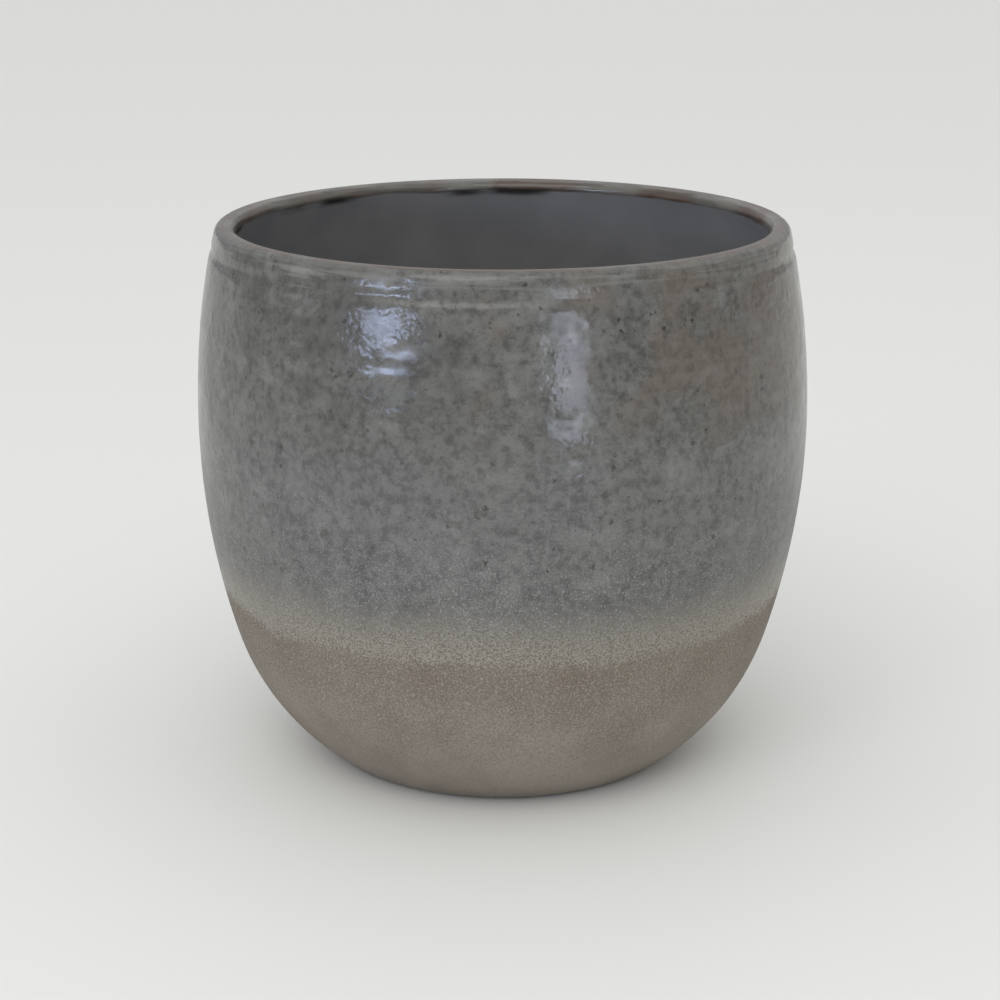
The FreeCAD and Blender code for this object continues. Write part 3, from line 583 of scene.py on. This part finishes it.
@dataclass(frozen=True)
class NeedledFleece:
    """Charcoal needled cloth: felted fibres that cross each other, and needle marks with painted shade in
    their holes.
    """

    name: str = "needled_fleece"
    base: Chip = Chip(74, 76, 75)
    pale: Chip = Chip(132, 134, 131)
    deep: Chip = Chip(36, 37, 37)
    roughness: float = 0.95

    def material(self) -> bpy.types.Material:
        """Mix the finish.

        Returns:
            The cloth's material.
        """
        mix = Recipe(self.name, IOR=1.45, Sheen_Weight=0.35, Sheen_Roughness=0.5)
        colour = mix.blend(mix.step(mix.cloud(9.0, 4.0, 0.6), 0.35, 0.65), self.deep, self.base)
        relief: Value = 0.0
        for turn, twist in ((0.35, 0.9), (1.3, 1.2), (2.25, 0.8)):
            feeds = {"Vector": mix.place, "Axis": (0, 0, 1), "Angle": turn}
            turned = mix.add("ShaderNodeVectorRotate", feeds, rotation_type="AXIS_ANGLE").outputs[0]
            fibre = mix.cloud(0.5, 3.0, 0.6, mix.stretch(turned, (0.16, 1.0, 1.0)), twist)
            colour = mix.coats(colour, (mix.step(fibre, 0.58, 0.68), 0.5, self.pale))
            relief = mix.maths("MULTIPLY_ADD", fibre, 0.22, relief)
        needled = mix.specks(2.6, 0.8, 0.16)
        # painted shade: the needle holes, sunk in the relief, are darkened
        colour = mix.coats(colour, (needled, 0.6, self.deep))
        return mix.finish(colour, self.roughness, mix.total((relief, 1.0), (needled, -0.25)))


@dataclass(frozen=True)
class CottonYarn:
    """Undyed cotton, with its fibres along the yarn's own map, painted shade in the grooves between its
    plies and a damp, darker foot.
    """

    name: str = "cotton_yarn"
    base: Chip = Chip(206, 194, 168)
    pale: Chip = Chip(230, 222, 202)
    deep: Chip = Chip(150, 134, 104)
    damp_level: float = 40.0
    plies: float = 2.0
    lay: float = 3.4

    def material(self) -> bpy.types.Material:
        """Mix the finish.

        Returns:
            The yarn's material.
        """
        mix = Recipe(self.name, IOR=1.45, Sheen_Weight=0.3, Sheen_Roughness=0.4)
        run = mix.add("ShaderNodeUVMap", {}, uv_map="yarn").outputs["UV"]
        split = mix.add("ShaderNodeSeparateXYZ", {"Vector": run})
        turns = mix.total((split.outputs["X"], self.plies), (split.outputs["Y"], 1 / self.lay))
        ply = mix.maths("MULTIPLY_ADD", mix.maths("SINE", mix.times(turns, math.tau)), 0.5, 0.5)
        fibre = mix.cloud(0.35, 3.0, 0.7, mix.stretch(mix.place, (1.0, 1.0, 0.2)))
        damp = mix.step(mix.maths("ADD", mix.axis("Z"), mix.times(mix.cloud(4.0), 6.0)),
                        self.damp_level + 9.0, self.damp_level - 5.0)
        # painted shade darkens the grooves between the plies where the ply wave is low
        colour = mix.coats(mix.blend(mix.step(fibre, 0.3, 0.7), self.deep, self.base),
                           (mix.step(fibre, 0.56, 0.72), 0.6, self.pale),
                           (mix.step(ply, 0.3, 0.0), 0.75, self.deep), (damp, 0.45, self.deep))
        rough = mix.total((0.92, 1.0), (damp, -0.25))
        return mix.finish(colour, rough, mix.total((fibre, 0.2), (ply, 0.35)))


# ---- Mesh tools ----

def arc(centre: tuple[float, float], radius: float, start: float, finish: float,
        pitch: float) -> list[tuple[float, float]]:
    """Return points along an arc, without its last one.

    Args:
        centre: the arc's centre, as radius and height.
        radius: the arc's radius.
        start: its first angle in radians.
        finish: its last angle in radians.
        pitch: the spacing of the points.

    Returns:
        The points as (radius, height).
    """
    count = max(2, round(abs(finish - start) * radius / pitch))
    angles = [start + (finish - start) * step / count for step in range(count)]
    return [(centre[0] + radius * math.cos(a), centre[1] + radius * math.sin(a)) for a in angles]


def straight(start: tuple[float, float], finish: tuple[float, float],
             pitch: float) -> list[tuple[float, float]]:
    """Return points along a straight run, without its last one.

    Args:
        start: its first point, as radius and height.
        finish: its last point.
        pitch: the spacing of the points.

    Returns:
        The points as (radius, height).
    """
    a, b = Vector(start), Vector(finish)
    count = max(1, round((b - a).length / pitch))
    return [tuple(a.lerp(b, step / count)) for step in range(count)]


def place_mesh(name: str, mesh: bmesh.types.BMesh, finish: bpy.types.Material) -> bpy.types.Object:
    """Put a mesh in the scene.

    Args:
        name: the object's name.
        mesh: the mesh in metres, which is freed.
        finish: its material.

    Returns:
        The new object.
    """
    data = bpy.data.meshes.new(name)
    mesh.to_mesh(data)
    mesh.free()
    data.materials.append(finish)
    placed = bpy.data.objects.new(name, data)
    bpy.context.scene.collection.objects.link(placed)
    return placed


def footprint(node: str) -> tuple[float, float, float]:
    """Return the centre and the radius of a packed round node, seen from above."""
    low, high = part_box(node)
    return (low.x + high.x) / 2 / MM, (low.y + high.y) / 2 / MM, (high.x - low.x) / 2 / MM


def new_piece(name: str, mesh: bmesh.types.BMesh, body: Body, replaced: Iterable[str],
              finish: bpy.types.Material) -> bpy.types.Object:
    """Write a mesh in millimetres as a piece of the object.

    Args:
        name: the piece's name.
        mesh: the mesh, which is freed.
        body: the body it rides on.
        replaced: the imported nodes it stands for.
        finish: its material.

    Returns:
        The new object.
    """
    bmesh.ops.scale(mesh, vec=(MM, MM, MM), verts=mesh.verts)
    for face in mesh.faces:
        face.smooth = True
    piece = place_mesh(name, mesh, finish)
    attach(piece, body.value)
    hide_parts(*replaced)
    LOG.info("%s: %d faces", name, len(piece.data.polygons))
    return piece


# ---- The pot ----

@dataclass(frozen=True)
class Ridge:
    """A finger ridge left by throwing: its height on the pot, its half width and its rise."""

    level: float
    half: float
    rise: float


@dataclass
class StonewarePot:
    """The thrown pot, turned from one closed outline and then made uneven as a thrown wall is."""

    height: float
    belly_radius: float
    foot_level: float = 0.8
    belly_height: float = 115.0
    mouth_inset: float = 7.7
    knee_height: float = 43.5
    knee_inset: float = 10.6
    heel_inset: float = 31.0
    wall: float = 7.0
    base_wall: float = 7.5
    lip_flat: float = 0.6
    collar_drop: float = 8.0
    collar_depth: float = 0.5
    collar_half: float = 1.3
    foot_width: float = 12.0
    foot_recess: float = 3.0
    foot_round: float = 1.5
    floor_round: float = 5.0
    drain_radius: float = 8.0
    edge: float = 0.4
    pitch_outside: float = 1.2
    pitch_inside: float = 3.0
    pitch_corner: float = 0.5
    turns: int = 240
    ridges: tuple[Ridge, ...] = (Ridge(166.5, 1.6, 0.05), Ridge(151.8, 1.4, 0.06), Ridge(146.6, 1.5, 0.11),
                                 Ridge(138.0, 2.2, 0.06), Ridge(128.0, 1.6, 0.06), Ridge(112.0, 3.0, 0.05),
                                 Ridge(95.0, 3.4, 0.05))
    sway: float = 0.3
    true_level: float = 14.0
    true_fade: float = 20.0
    lip_margin: float = 3.0
    lip_fade: float = 8.0
    lip_share: float = 0.15

    @classmethod
    def from_frame(cls) -> "StonewarePot":
        """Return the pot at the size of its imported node."""
        _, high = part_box("pot")
        return cls(height=high.z / MM, belly_radius=high.x / MM)

    def _curves(self) -> None:
        """Work out the outline's arcs from the driving sizes."""
        rise = self.height - self.belly_height
        self.upper = (rise ** 2 + self.mouth_inset ** 2) / (2 * self.mouth_inset)
        fall = self.belly_height - self.knee_height
        self.lower = (fall ** 2 + self.knee_inset ** 2) / (2 * self.knee_inset)
        self.upper_centre = (self.belly_radius - self.upper, self.belly_height)
        self.lower_centre = (self.belly_radius - self.lower, self.belly_height)
        out, down = (self.lower - self.knee_inset) / self.lower, fall / self.lower
        heel_rise = self.knee_height - self.foot_level
        chord = self.heel_inset ** 2 + heel_rise ** 2
        self.heel = chord / (2 * (self.heel_inset * out - heel_rise * down))
        knee = self.belly_radius - self.knee_inset
        self.heel_centre = (knee - self.heel * out, self.knee_height + self.heel * down)
        self.knee_angle = -math.asin(down)

    def _outline(self) -> tuple[list[tuple[float, float]], int]:
        """Draw the pot's section.

        Returns:
            The closed outline, and the number of the point on the lip's crest.
        """
        self._curves()
        corner, wall = self.pitch_corner, self.wall
        round_foot, round_lip = self.foot_round, (self.wall - self.lip_flat) / 2
        foot = self.belly_radius - self.knee_inset - self.heel_inset
        level = self.foot_level
        reach = self.heel - round_foot
        sink = self.heel_centre[1] - level - round_foot
        foot_centre = (self.heel_centre[0] + math.sqrt(reach ** 2 - sink ** 2), level + round_foot)
        foot_angle = -math.asin(sink / reach)
        points = arc(foot_centre, round_foot, -math.pi / 2, foot_angle, corner)
        points += arc(self.heel_centre, self.heel, foot_angle, self.knee_angle, self.pitch_outside)
        points += arc(self.lower_centre, self.lower, self.knee_angle, 0.0, self.pitch_outside)
        lip_level = self.height - round_lip
        lip_rise = lip_level - self.belly_height
        lip_out, lip_in = self.upper - round_lip, self.upper - wall + round_lip
        turn_out, turn_in = math.asin(lip_rise / lip_out), math.asin(lip_rise / lip_in)
        centre_out = (self.upper_centre[0] + lip_out * math.cos(turn_out), lip_level)
        centre_in = (self.upper_centre[0] + lip_in * math.cos(turn_in), lip_level)
        points += arc(self.upper_centre, self.upper, 0.0, turn_out, self.pitch_outside)
        points += arc(centre_out, round_lip, turn_out, math.pi / 2, corner)
        crest = len(points)
        points += arc(centre_in, round_lip, math.pi / 2, math.pi + turn_in, corner)
        inner = self.upper - wall
        points += arc(self.upper_centre, inner, turn_in, 0.0, self.pitch_inside)
        points += arc(self.lower_centre, self.lower - wall, 0.0, self.knee_angle, self.pitch_inside)
        floor = level + self.foot_recess + self.base_wall
        reach = self.heel - wall - self.floor_round
        sink = self.heel_centre[1] - floor - self.floor_round
        corner_centre = (self.heel_centre[0] + math.sqrt(reach ** 2 - sink ** 2), floor + self.floor_round)
        corner_angle = -math.asin(sink / reach)
        points += arc(self.heel_centre, self.heel - wall, self.knee_angle, corner_angle, self.pitch_inside)
        points += arc(corner_centre, self.floor_round, corner_angle, -math.pi / 2, 2 * corner)
        recess = level + self.foot_recess
        drain, edge = self.drain_radius, self.edge
        points += straight((corner_centre[0], floor), (drain + edge, floor), self.pitch_inside)
        points += arc((drain + edge, floor - edge), edge, math.pi / 2, math.pi, corner / 3)
        points += straight((drain, floor - edge), (drain, recess + edge), self.pitch_inside)
        points += arc((drain + edge, recess + edge), edge, math.pi, 1.5 * math.pi, corner / 3)
        inner_foot = foot - self.foot_width
        points += straight((drain + edge, recess), (inner_foot - recess / 2, recess), self.pitch_inside)
        points += straight((inner_foot - recess / 2, recess), (inner_foot - edge, level + edge), corner)
        points += straight((inner_foot, level), (foot_centre[0], level), self.pitch_inside)
        return points, crest

    def _unevenness(self, place: Vector) -> float:
        """Work out how uneven the thrown wall is at a point.

        Args:
            place: the point.

        Returns:
            How far it stands out from the true outline.
        """
        lean = noise.noise(Vector((place.x * 0.012, place.y * 0.012, place.z * 0.014)))
        turn = Vector((place.x * 0.02, place.y * 0.02, place.z * 0.03))
        level = place.z + 2.0 * noise.noise(turn)
        strength = 0.75 + 0.7 * noise.noise(turn * 1.7)
        rise = sum(r.rise * math.exp(-(((level - r.level) / r.half) ** 2)) for r in self.ridges)
        return lean * self.sway + rise * strength

    def _make_uneven(self, mesh: bmesh.types.BMesh) -> None:
        """Move the side's points, and leave the foot, the floor and the drain true.

        Args:
            mesh: the turned pot.
        """
        mesh.normal_update()
        moves = []
        for vert in mesh.verts:
            place = vert.co
            side = min(1.0, max(0.0, (place.z - self.true_level) / self.true_fade))
            lip = min(1.0, max(self.lip_share, (self.height - self.lip_margin - place.z) / self.lip_fade))
            shift = self._unevenness(place) * side * lip
            off = (place.z - (self.height - self.collar_drop)) / self.collar_half
            outside = math.hypot(place.x, place.y) > self.belly_radius - self.mouth_inset - self.wall / 2
            if outside:
                shift -= self.collar_depth * math.exp(-off * off)
            moves.append(vert.normal * shift)
        for vert, move in zip(mesh.verts, moves):
            vert.co += move

    def build(self) -> bpy.types.Object:
        """Turn the outline, make it uneven, and store each point's run from the lip's crest.

        Returns:
            The pot.
        """
        points, crest = self._outline()
        mesh = bmesh.new()
        store = mesh.verts.layers.float.new(ReactiveGlaze.lip_attribute)
        verts = [mesh.verts.new((radius, 0.0, height)) for radius, height in points]
        runs = [0.0] * len(points)
        for index in range(crest + 1, len(points)):
            runs[index] = runs[index - 1] + (verts[index].co - verts[index - 1].co).length
        for index in range(crest - 1, -1, -1):
            runs[index] = runs[index + 1] - (verts[index].co - verts[index + 1].co).length
        for vert, run in zip(verts, runs):
            vert[store] = run
        edges = [mesh.edges.new((verts[index - 1], vert)) for index, vert in enumerate(verts)]
        bmesh.ops.spin(mesh, geom=verts + edges, cent=(0, 0, 0), axis=(0, 0, 1), dvec=(0, 0, 0),
                       angle=2 * math.pi, steps=self.turns, use_merge=True)
        bmesh.ops.remove_doubles(mesh, verts=mesh.verts, dist=1e-4)
        bmesh.ops.recalc_face_normals(mesh, faces=mesh.faces)
        self._make_uneven(mesh)
        finish = ReactiveGlaze().material()
        return new_piece("stoneware_pot", mesh, Body.POT, ["pot"], finish)


# ---- Fleece and wicks ----

@dataclass
class FleeceDisc:
    """The cut disc of fleece on the platform, with a hole round everything that passes it."""

    low: float
    radius: float
    holes: list[tuple[float, float, float]]
    cell: float = 1.6
    thick: float = 1.7
    wave: float = 0.22
    blank: float = 0.158
    clearance: float = 0.45

    @classmethod
    def from_frame(cls) -> "FleeceDisc":
        """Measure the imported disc, and the cups and collars that pass through it.

        Returns:
            The disc.
        """
        low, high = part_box("fleece")
        holes = []
        for node in ("wick_cup_1", "wick_cup_2", "wick_cup_3", "fill_collar", "gauge_collar"):
            x, y, reach = footprint(node)
            holes.append((x, y, reach + cls.clearance))
        return cls(low=low.z / MM, radius=high.x / MM, holes=holes)

    def _trim(self, mesh: bmesh.types.BMesh) -> None:
        """Cut the outer edge and the holes out of the square blank.

        Args:
            mesh: the blank.
        """
        rims = [(0.0, 0.0, self.radius, 1)] + [(x, y, radius, -1) for x, y, radius in self.holes]
        for x, y, radius, side in rims:
            centre = Vector((x, y, 0))
            gone = [f for f in mesh.faces if ((f.calc_center_median() - centre).length - radius) * side > 0]
            bmesh.ops.delete(mesh, geom=gone, context="FACES")
            for vert in mesh.verts:
                away = vert.co - centre
                if vert.is_boundary and abs(away.length - radius) < self.cell:
                    vert.co = centre + away.normalized() * radius

    def _lay(self, mesh: bmesh.types.BMesh) -> None:
        """Let the cloth lie a little unevenly.

        Args:
            mesh: the cut disc.
        """
        for vert in mesh.verts:
            place = vert.co
            lift = noise.noise(Vector((place.x * 0.06, place.y * 0.06, 1.3)))
            fuzz = noise.noise(Vector((place.x * 0.6, place.y * 0.6, 8.1)))
            vert.co.z = self.low + self.thick / 2 + self.wave * (1 + lift) / 2 + 0.05 * fuzz

    def build(self) -> bpy.types.Object:
        """Cut the blank, lay it on the platform and give it its thickness.

        Returns:
            The fleece.
        """
        mesh = bmesh.new()
        count = math.ceil(2 * self.radius / self.cell)
        bmesh.ops.create_grid(mesh, x_segments=count, y_segments=count, size=self.radius + self.cell / 2)
        self._trim(mesh)
        bmesh.ops.remove_doubles(mesh, verts=mesh.verts, dist=self.cell * 0.4)
        bmesh.ops.dissolve_degenerate(mesh, edges=mesh.edges, dist=self.cell * 0.1)
        for _ in range(3):
            bmesh.ops.smooth_vert(mesh, verts=[v for v in mesh.verts if not v.is_boundary], factor=0.5,
                                  use_axis_x=True, use_axis_y=True)
        area = sum(face.calc_area() for face in mesh.faces) * MM * MM
        self._lay(mesh)
        piece = new_piece("fleece_disc", mesh, Body.INSERT, ["fleece"],
                          NeedledFleece().material())
        body = piece.modifiers.new("thickness", "SOLIDIFY")
        body.thickness = self.thick * MM
        body.offset = 0.0
        edge = piece.modifiers.new("soft_edge", "BEVEL")
        edge.width = 0.35 * MM
        edge.segments = 2
        return piece


@dataclass
class YarnWick:
    """One wick: a bundle of cotton yarns that fills its cup and stands up into the soil."""

    number: int
    centre: tuple[float, float]
    low: float
    high: float
    radius: float
    foot_radius: float = 8.4
    rings: tuple[tuple[int, float], ...] = ((1, 0.0), (6, 2.0), (12, 3.9), (17, 5.75))
    twist: float = 0.9
    sides: int = 10
    ends: tuple[tuple[float, float], ...] = ((0.978, 0.95), (0.992, 0.75), (1.0, 0.35))
    stations: int = 11

    @classmethod
    def from_frame(cls, number: int) -> "YarnWick":
        """Measure a packed wick.

        Args:
            number: which wick it is.

        Returns:
            The bundle at its place.
        """
        low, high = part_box(f"wick_{number}")
        x, y, radius = footprint(f"wick_{number}")
        return cls(number, (x, y), low.z / MM, high.z / MM, radius)

    def _station(self, ring: float, bearing: float, share: float) -> tuple[Vector, float, float]:
        """Find a yarn at a share of its way up.

        Args:
            ring: how many yarn radii its axis stands from the bundle's.
            bearing: its bearing at the foot, in radians.
            share: how far up, from 0 to 1.

        Returns:
            Its axis, its radius and how far it has turned.
        """
        span = self.foot_radius + (self.radius - self.foot_radius) * min(1.0, share * 1.35)
        size = span / (self.rings[-1][1] + 1)
        turn = bearing + self.twist * share
        stray = 0.25 * size * noise.noise(Vector((share * 5, bearing * 3, self.number * 2.0 + ring)))
        out = (ring * size) + (stray if 0 < ring < self.rings[-1][1] else 0.0)
        axis = Vector((self.centre[0] + out * math.cos(turn), self.centre[1] + out * math.sin(turn), 0))
        return axis, size, turn

    def _yarn(self, mesh: bmesh.types.BMesh, ring: float, bearing: float, crop: float) -> None:
        """Draw one yarn up its twisted course by extruding a circle.

        Args:
            mesh: the bundle's mesh.
            ring: how many yarn radii its axis stands from the bundle's.
            bearing: its bearing at the foot, in radians.
            crop: how far it ends below the tallest.
        """
        layer = mesh.loops.layers.uv["yarn"]
        start = bmesh.ops.create_circle(mesh, cap_ends=True, segments=self.sides, radius=1.0)
        face = start["verts"][0].link_faces[0]
        tall = self.high - crop - self.low
        shares = [(0.0, 0.75), (0.012, 1.0)]
        shares += [(0.02 + 0.94 * step / self.stations, 1.0) for step in range(1, self.stations + 1)]
        for share, width in [*shares, *self.ends]:
            if share > 0:
                face = bmesh.ops.extrude_discrete_faces(mesh, faces=[face])["faces"][0]
            axis, size, turn = self._station(ring, bearing, share)
            for index, vert in enumerate(face.verts):
                around = math.tau * index / self.sides + turn
                fluff = 1 + 0.06 * noise.noise(Vector((around, share * 14, bearing * 7)))
                spread = size * width * fluff
                vert.co = axis + Vector((math.cos(around), math.sin(around), 0)) * spread
                vert.co.z = self.low + tall * share
        bmesh.ops.holes_fill(mesh, edges=[edge for edge in mesh.edges if edge.is_boundary], sides=0)
        for item in [item for item in mesh.faces if not item.tag]:
            item.tag = True
            marks = []
            for corner in item.loops:
                axis, _, turn = self._station(ring, bearing, (corner.vert.co.z - self.low) / tall)
                away = corner.vert.co - axis
                marks.append(((math.atan2(away.y, away.x) - turn) / math.tau) % 1.0)
            wrapped = max(marks) - min(marks) > 0.5
            for corner, mark in zip(item.loops, marks):
                corner[layer].uv = (mark + (wrapped and mark < 0.5), corner.vert.co.z)

    def build(self) -> bpy.types.Object:
        """Bundle the yarns.

        Returns:
            The wick.
        """
        mesh = bmesh.new()
        mesh.loops.layers.uv.new("yarn")
        for count, ring in self.rings:
            for index in range(count):
                bearing = 2 * math.pi * index / count + ring
                crop = 1.6 * abs(noise.noise(Vector((index * 1.7, ring, self.number * 3.1)))) + 0.25 * ring
                self._yarn(mesh, ring, bearing, crop)
        bmesh.ops.recalc_face_normals(mesh, faces=mesh.faces)
        return new_piece(f"yarn_wick_{self.number}", mesh, Body.INSERT,
                         [f"wick_{self.number}"], CottonYarn().material())


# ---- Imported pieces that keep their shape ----

@dataclass(frozen=True)
class Batch:
    """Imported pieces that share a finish."""

    finish: MouldedPlastic | SoftRubber | DrawnSteel | ClearMoulding
    nodes: tuple[str, ...]

    def dress(self) -> None:
        """Give the pieces their finish."""
        material = self.finish.material()
        for node in self.nodes:
            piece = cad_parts[node]
            if not piece.material_slots:
                piece.data.materials.append(material)
            for slot in piece.material_slots:
                slot.material = material
        LOG.info("%s: %s", self.finish.name, ", ".join(self.nodes))


@dataclass(frozen=True)
class MouldedKit:
    """The moulded, rubber, steel and clear pieces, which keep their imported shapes."""

    batches: tuple[Batch, ...] = (
        Batch(MouldedPlastic("platform_plastic", Chip(74, 79, 78), 0.5, 0.03), ("platform",)),
        Batch(MouldedPlastic("leg_plastic", Chip(82, 87, 86), 0.48, 0.02),
              ("leg_1", "leg_2", "leg_3", "leg_4")),
        Batch(MouldedPlastic("cup_plastic", Chip(80, 104, 88), 0.5, 0.02),
              ("wick_cup_1", "wick_cup_2", "wick_cup_3", "float_chamber", "chamber_cap")),
        Batch(MouldedPlastic("tube_plastic", Chip(96, 100, 102), 0.36, 0.006), ("fill_tube", "gauge_tube")),
        Batch(MouldedPlastic("head_plastic", Chip(84, 89, 91), 0.34, 0.008),
              ("column_head", "window_ring")),
        Batch(MouldedPlastic("lid_plastic", Chip(78, 116, 138), 0.32, 0.008, 0.5), ("fill_lid",)),
        Batch(MouldedPlastic("float_plastic", Chip(224, 220, 210), 0.5, 0.02), ("float",)),
        Batch(MouldedPlastic("marker_plastic", Chip(186, 36, 28), 0.28, 0.004, 0.1), ("level_marker",)),
        Batch(MouldedPlastic("bush_plastic", Chip(222, 220, 214), 0.4, 0.006), ("guide_bush",)),
        Batch(SoftRubber("pad_rubber", Chip(44, 44, 44)),
              ("foot_pad_1", "foot_pad_2", "foot_pad_3", "foot_pad_4")),
        Batch(SoftRubber("plug_rubber", Chip(140, 62, 46), 0.6), ("drain_plug",)),
        Batch(SoftRubber("seal_rubber", Chip(62, 63, 64), 0.62), ("edge_seal",)),
        Batch(SoftRubber("collar_rubber", Chip(50, 51, 52)), ("fill_collar", "gauge_collar")),
        Batch(DrawnSteel("pin_steel", (0.02, 1.0, 1.0)), ("hinge_pin",)),
        Batch(DrawnSteel("rod_steel", (1.0, 1.0, 0.02)), ("float_rod",)),
        Batch(ClearMoulding(), ("gauge_window",)),
    )

    def dress(self) -> None:
        """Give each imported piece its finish."""
        for batch in self.batches:
            batch.dress()


# ---- Floor, light and camera ----

@dataclass(frozen=True)
class Window:
    """A window-shaped light that faces the pot and that the camera doesn't see.

    Its bearing and rise are degrees from the pot's upper wall, with the front at -90. Its size and
    distance are metres. Its watts are those of an open light as bright, and beam is its half angle.
    """

    name: str
    bearing: float
    rise: float
    size: tuple[float, float]
    watts: float
    colour: tuple[float, float, float]
    distance: float = 1.4
    beam: float = 25.0
    aim: tuple[float, float, float] = (0.0, 0.0, 0.15)

    def hang(self) -> None:
        """Hang the light."""
        light = bpy.data.lights.new(self.name, "AREA")
        light.shape = "RECTANGLE"
        light.size, light.size_y = self.size
        half = math.radians(self.beam)
        light.spread = 2 * half
        light.energy = self.watts * (1 - half / math.tan(half))
        light.color = self.colour
        holder = bpy.data.objects.new(self.name, light)
        turn, tilt = math.radians(self.bearing), math.radians(self.rise)
        away = Vector((math.cos(turn) * math.cos(tilt), math.sin(turn) * math.cos(tilt), math.sin(tilt)))
        holder.location = Vector(self.aim) + away * self.distance
        holder.rotation_mode = "QUATERNION"
        holder.rotation_quaternion = away.to_track_quat("Z", "Y")
        holder.visible_camera = False
        bpy.context.scene.collection.objects.link(holder)


@dataclass
class Studio:
    """A plain pale floor, soft light from above, the windows and the camera."""

    floor_half: float = 12.0
    floor_chip: Chip = Chip(233, 232, 227)
    floor_roughness: float = 0.6
    camera_place: tuple[float, float, float] = (-0.0008, -0.7302, 0.2977)
    camera_dip: float = math.radians(16.37)
    lens: float = 81.7
    zenith: float = 1.02
    horizon: float = 0.27
    windows: tuple[Window, ...] = (
        Window("window_left", -132.5, 7.1, (0.47, 0.14), 3.4, (0.58, 0.69, 1.0)),
        Window("window_front", -67.0, 1.0, (0.13, 0.26), 0.7, (0.75, 0.82, 1.0), 0.75),
        Window("window_side", -172.0, 9.0, (0.44, 0.22), 0.5, (0.95, 0.97, 1.0)),
        Window("room_front", -106.0, 42.0, (1.8, 1.3), 12.0, (1.0, 0.995, 0.98), 2.2, 90.0),
    )

    def _floor(self) -> None:
        """Lay the floor, centred under the pot."""
        mesh = bmesh.new()
        bmesh.ops.create_grid(mesh, x_segments=1, y_segments=1, size=self.floor_half)
        mix = Recipe("pale_floor", IOR=1.45)
        finish = mix.finish(self.floor_chip, self.floor_roughness, mix.times(mix.cloud(1.0), 0.02))
        place_mesh("floor", mesh, finish)

    def _sky(self) -> None:
        """Light the room from all round, brighter from above."""
        world = bpy.data.worlds.new("room")
        world.use_nodes = True
        nodes, links = world.node_tree.nodes, world.node_tree.links
        back = nodes["Background"]
        place = nodes.new("ShaderNodeTexCoord")
        split = nodes.new("ShaderNodeSeparateXYZ")
        rise = nodes.new("ShaderNodeMapRange")
        for socket, value in (("From Min", -0.05), ("From Max", 0.75), ("To Min", self.horizon),
                              ("To Max", self.zenith)):
            rise.inputs[socket].default_value = value
        links.new(place.outputs["Generated"], split.inputs["Vector"])
        links.new(split.outputs["Z"], rise.inputs["Value"])
        links.new(rise.outputs["Result"], back.inputs["Strength"])
        back.inputs["Color"].default_value = (0.96, 0.98, 1.0, 1.0)
        bpy.context.scene.world = world

    def _camera(self) -> None:
        """Place the camera a little left of the axis, looking down at the pot."""
        lens = bpy.data.cameras.new("camera")
        lens.lens = self.lens
        lens.sensor_width = 36.0
        camera = bpy.data.objects.new("camera", lens)
        camera.location = self.camera_place
        camera.rotation_euler = (math.pi / 2 - self.camera_dip, 0.0, 0.0)
        bpy.context.scene.collection.objects.link(camera)
        bpy.context.scene.camera = camera

    def build(self) -> None:
        """Set up the floor, the light and the camera."""
        self._floor()
        self._sky()
        for window in self.windows:
            window.hang()
        self._camera()
        bpy.context.scene.view_settings.view_transform = "Standard"
        LOG.info("studio ready")


def main() -> None:
    """Build every piece in order, then the studio."""
    logging.basicConfig(level=logging.INFO, format="%(name)s: %(message)s")
    StonewarePot.from_frame().build()
    FleeceDisc.from_frame().build()
    for number in (1, 2, 3):
        YarnWick.from_frame(number).build()
    MouldedKit().dress()
    Studio().build()


if __name__ == "__main__":
    main()
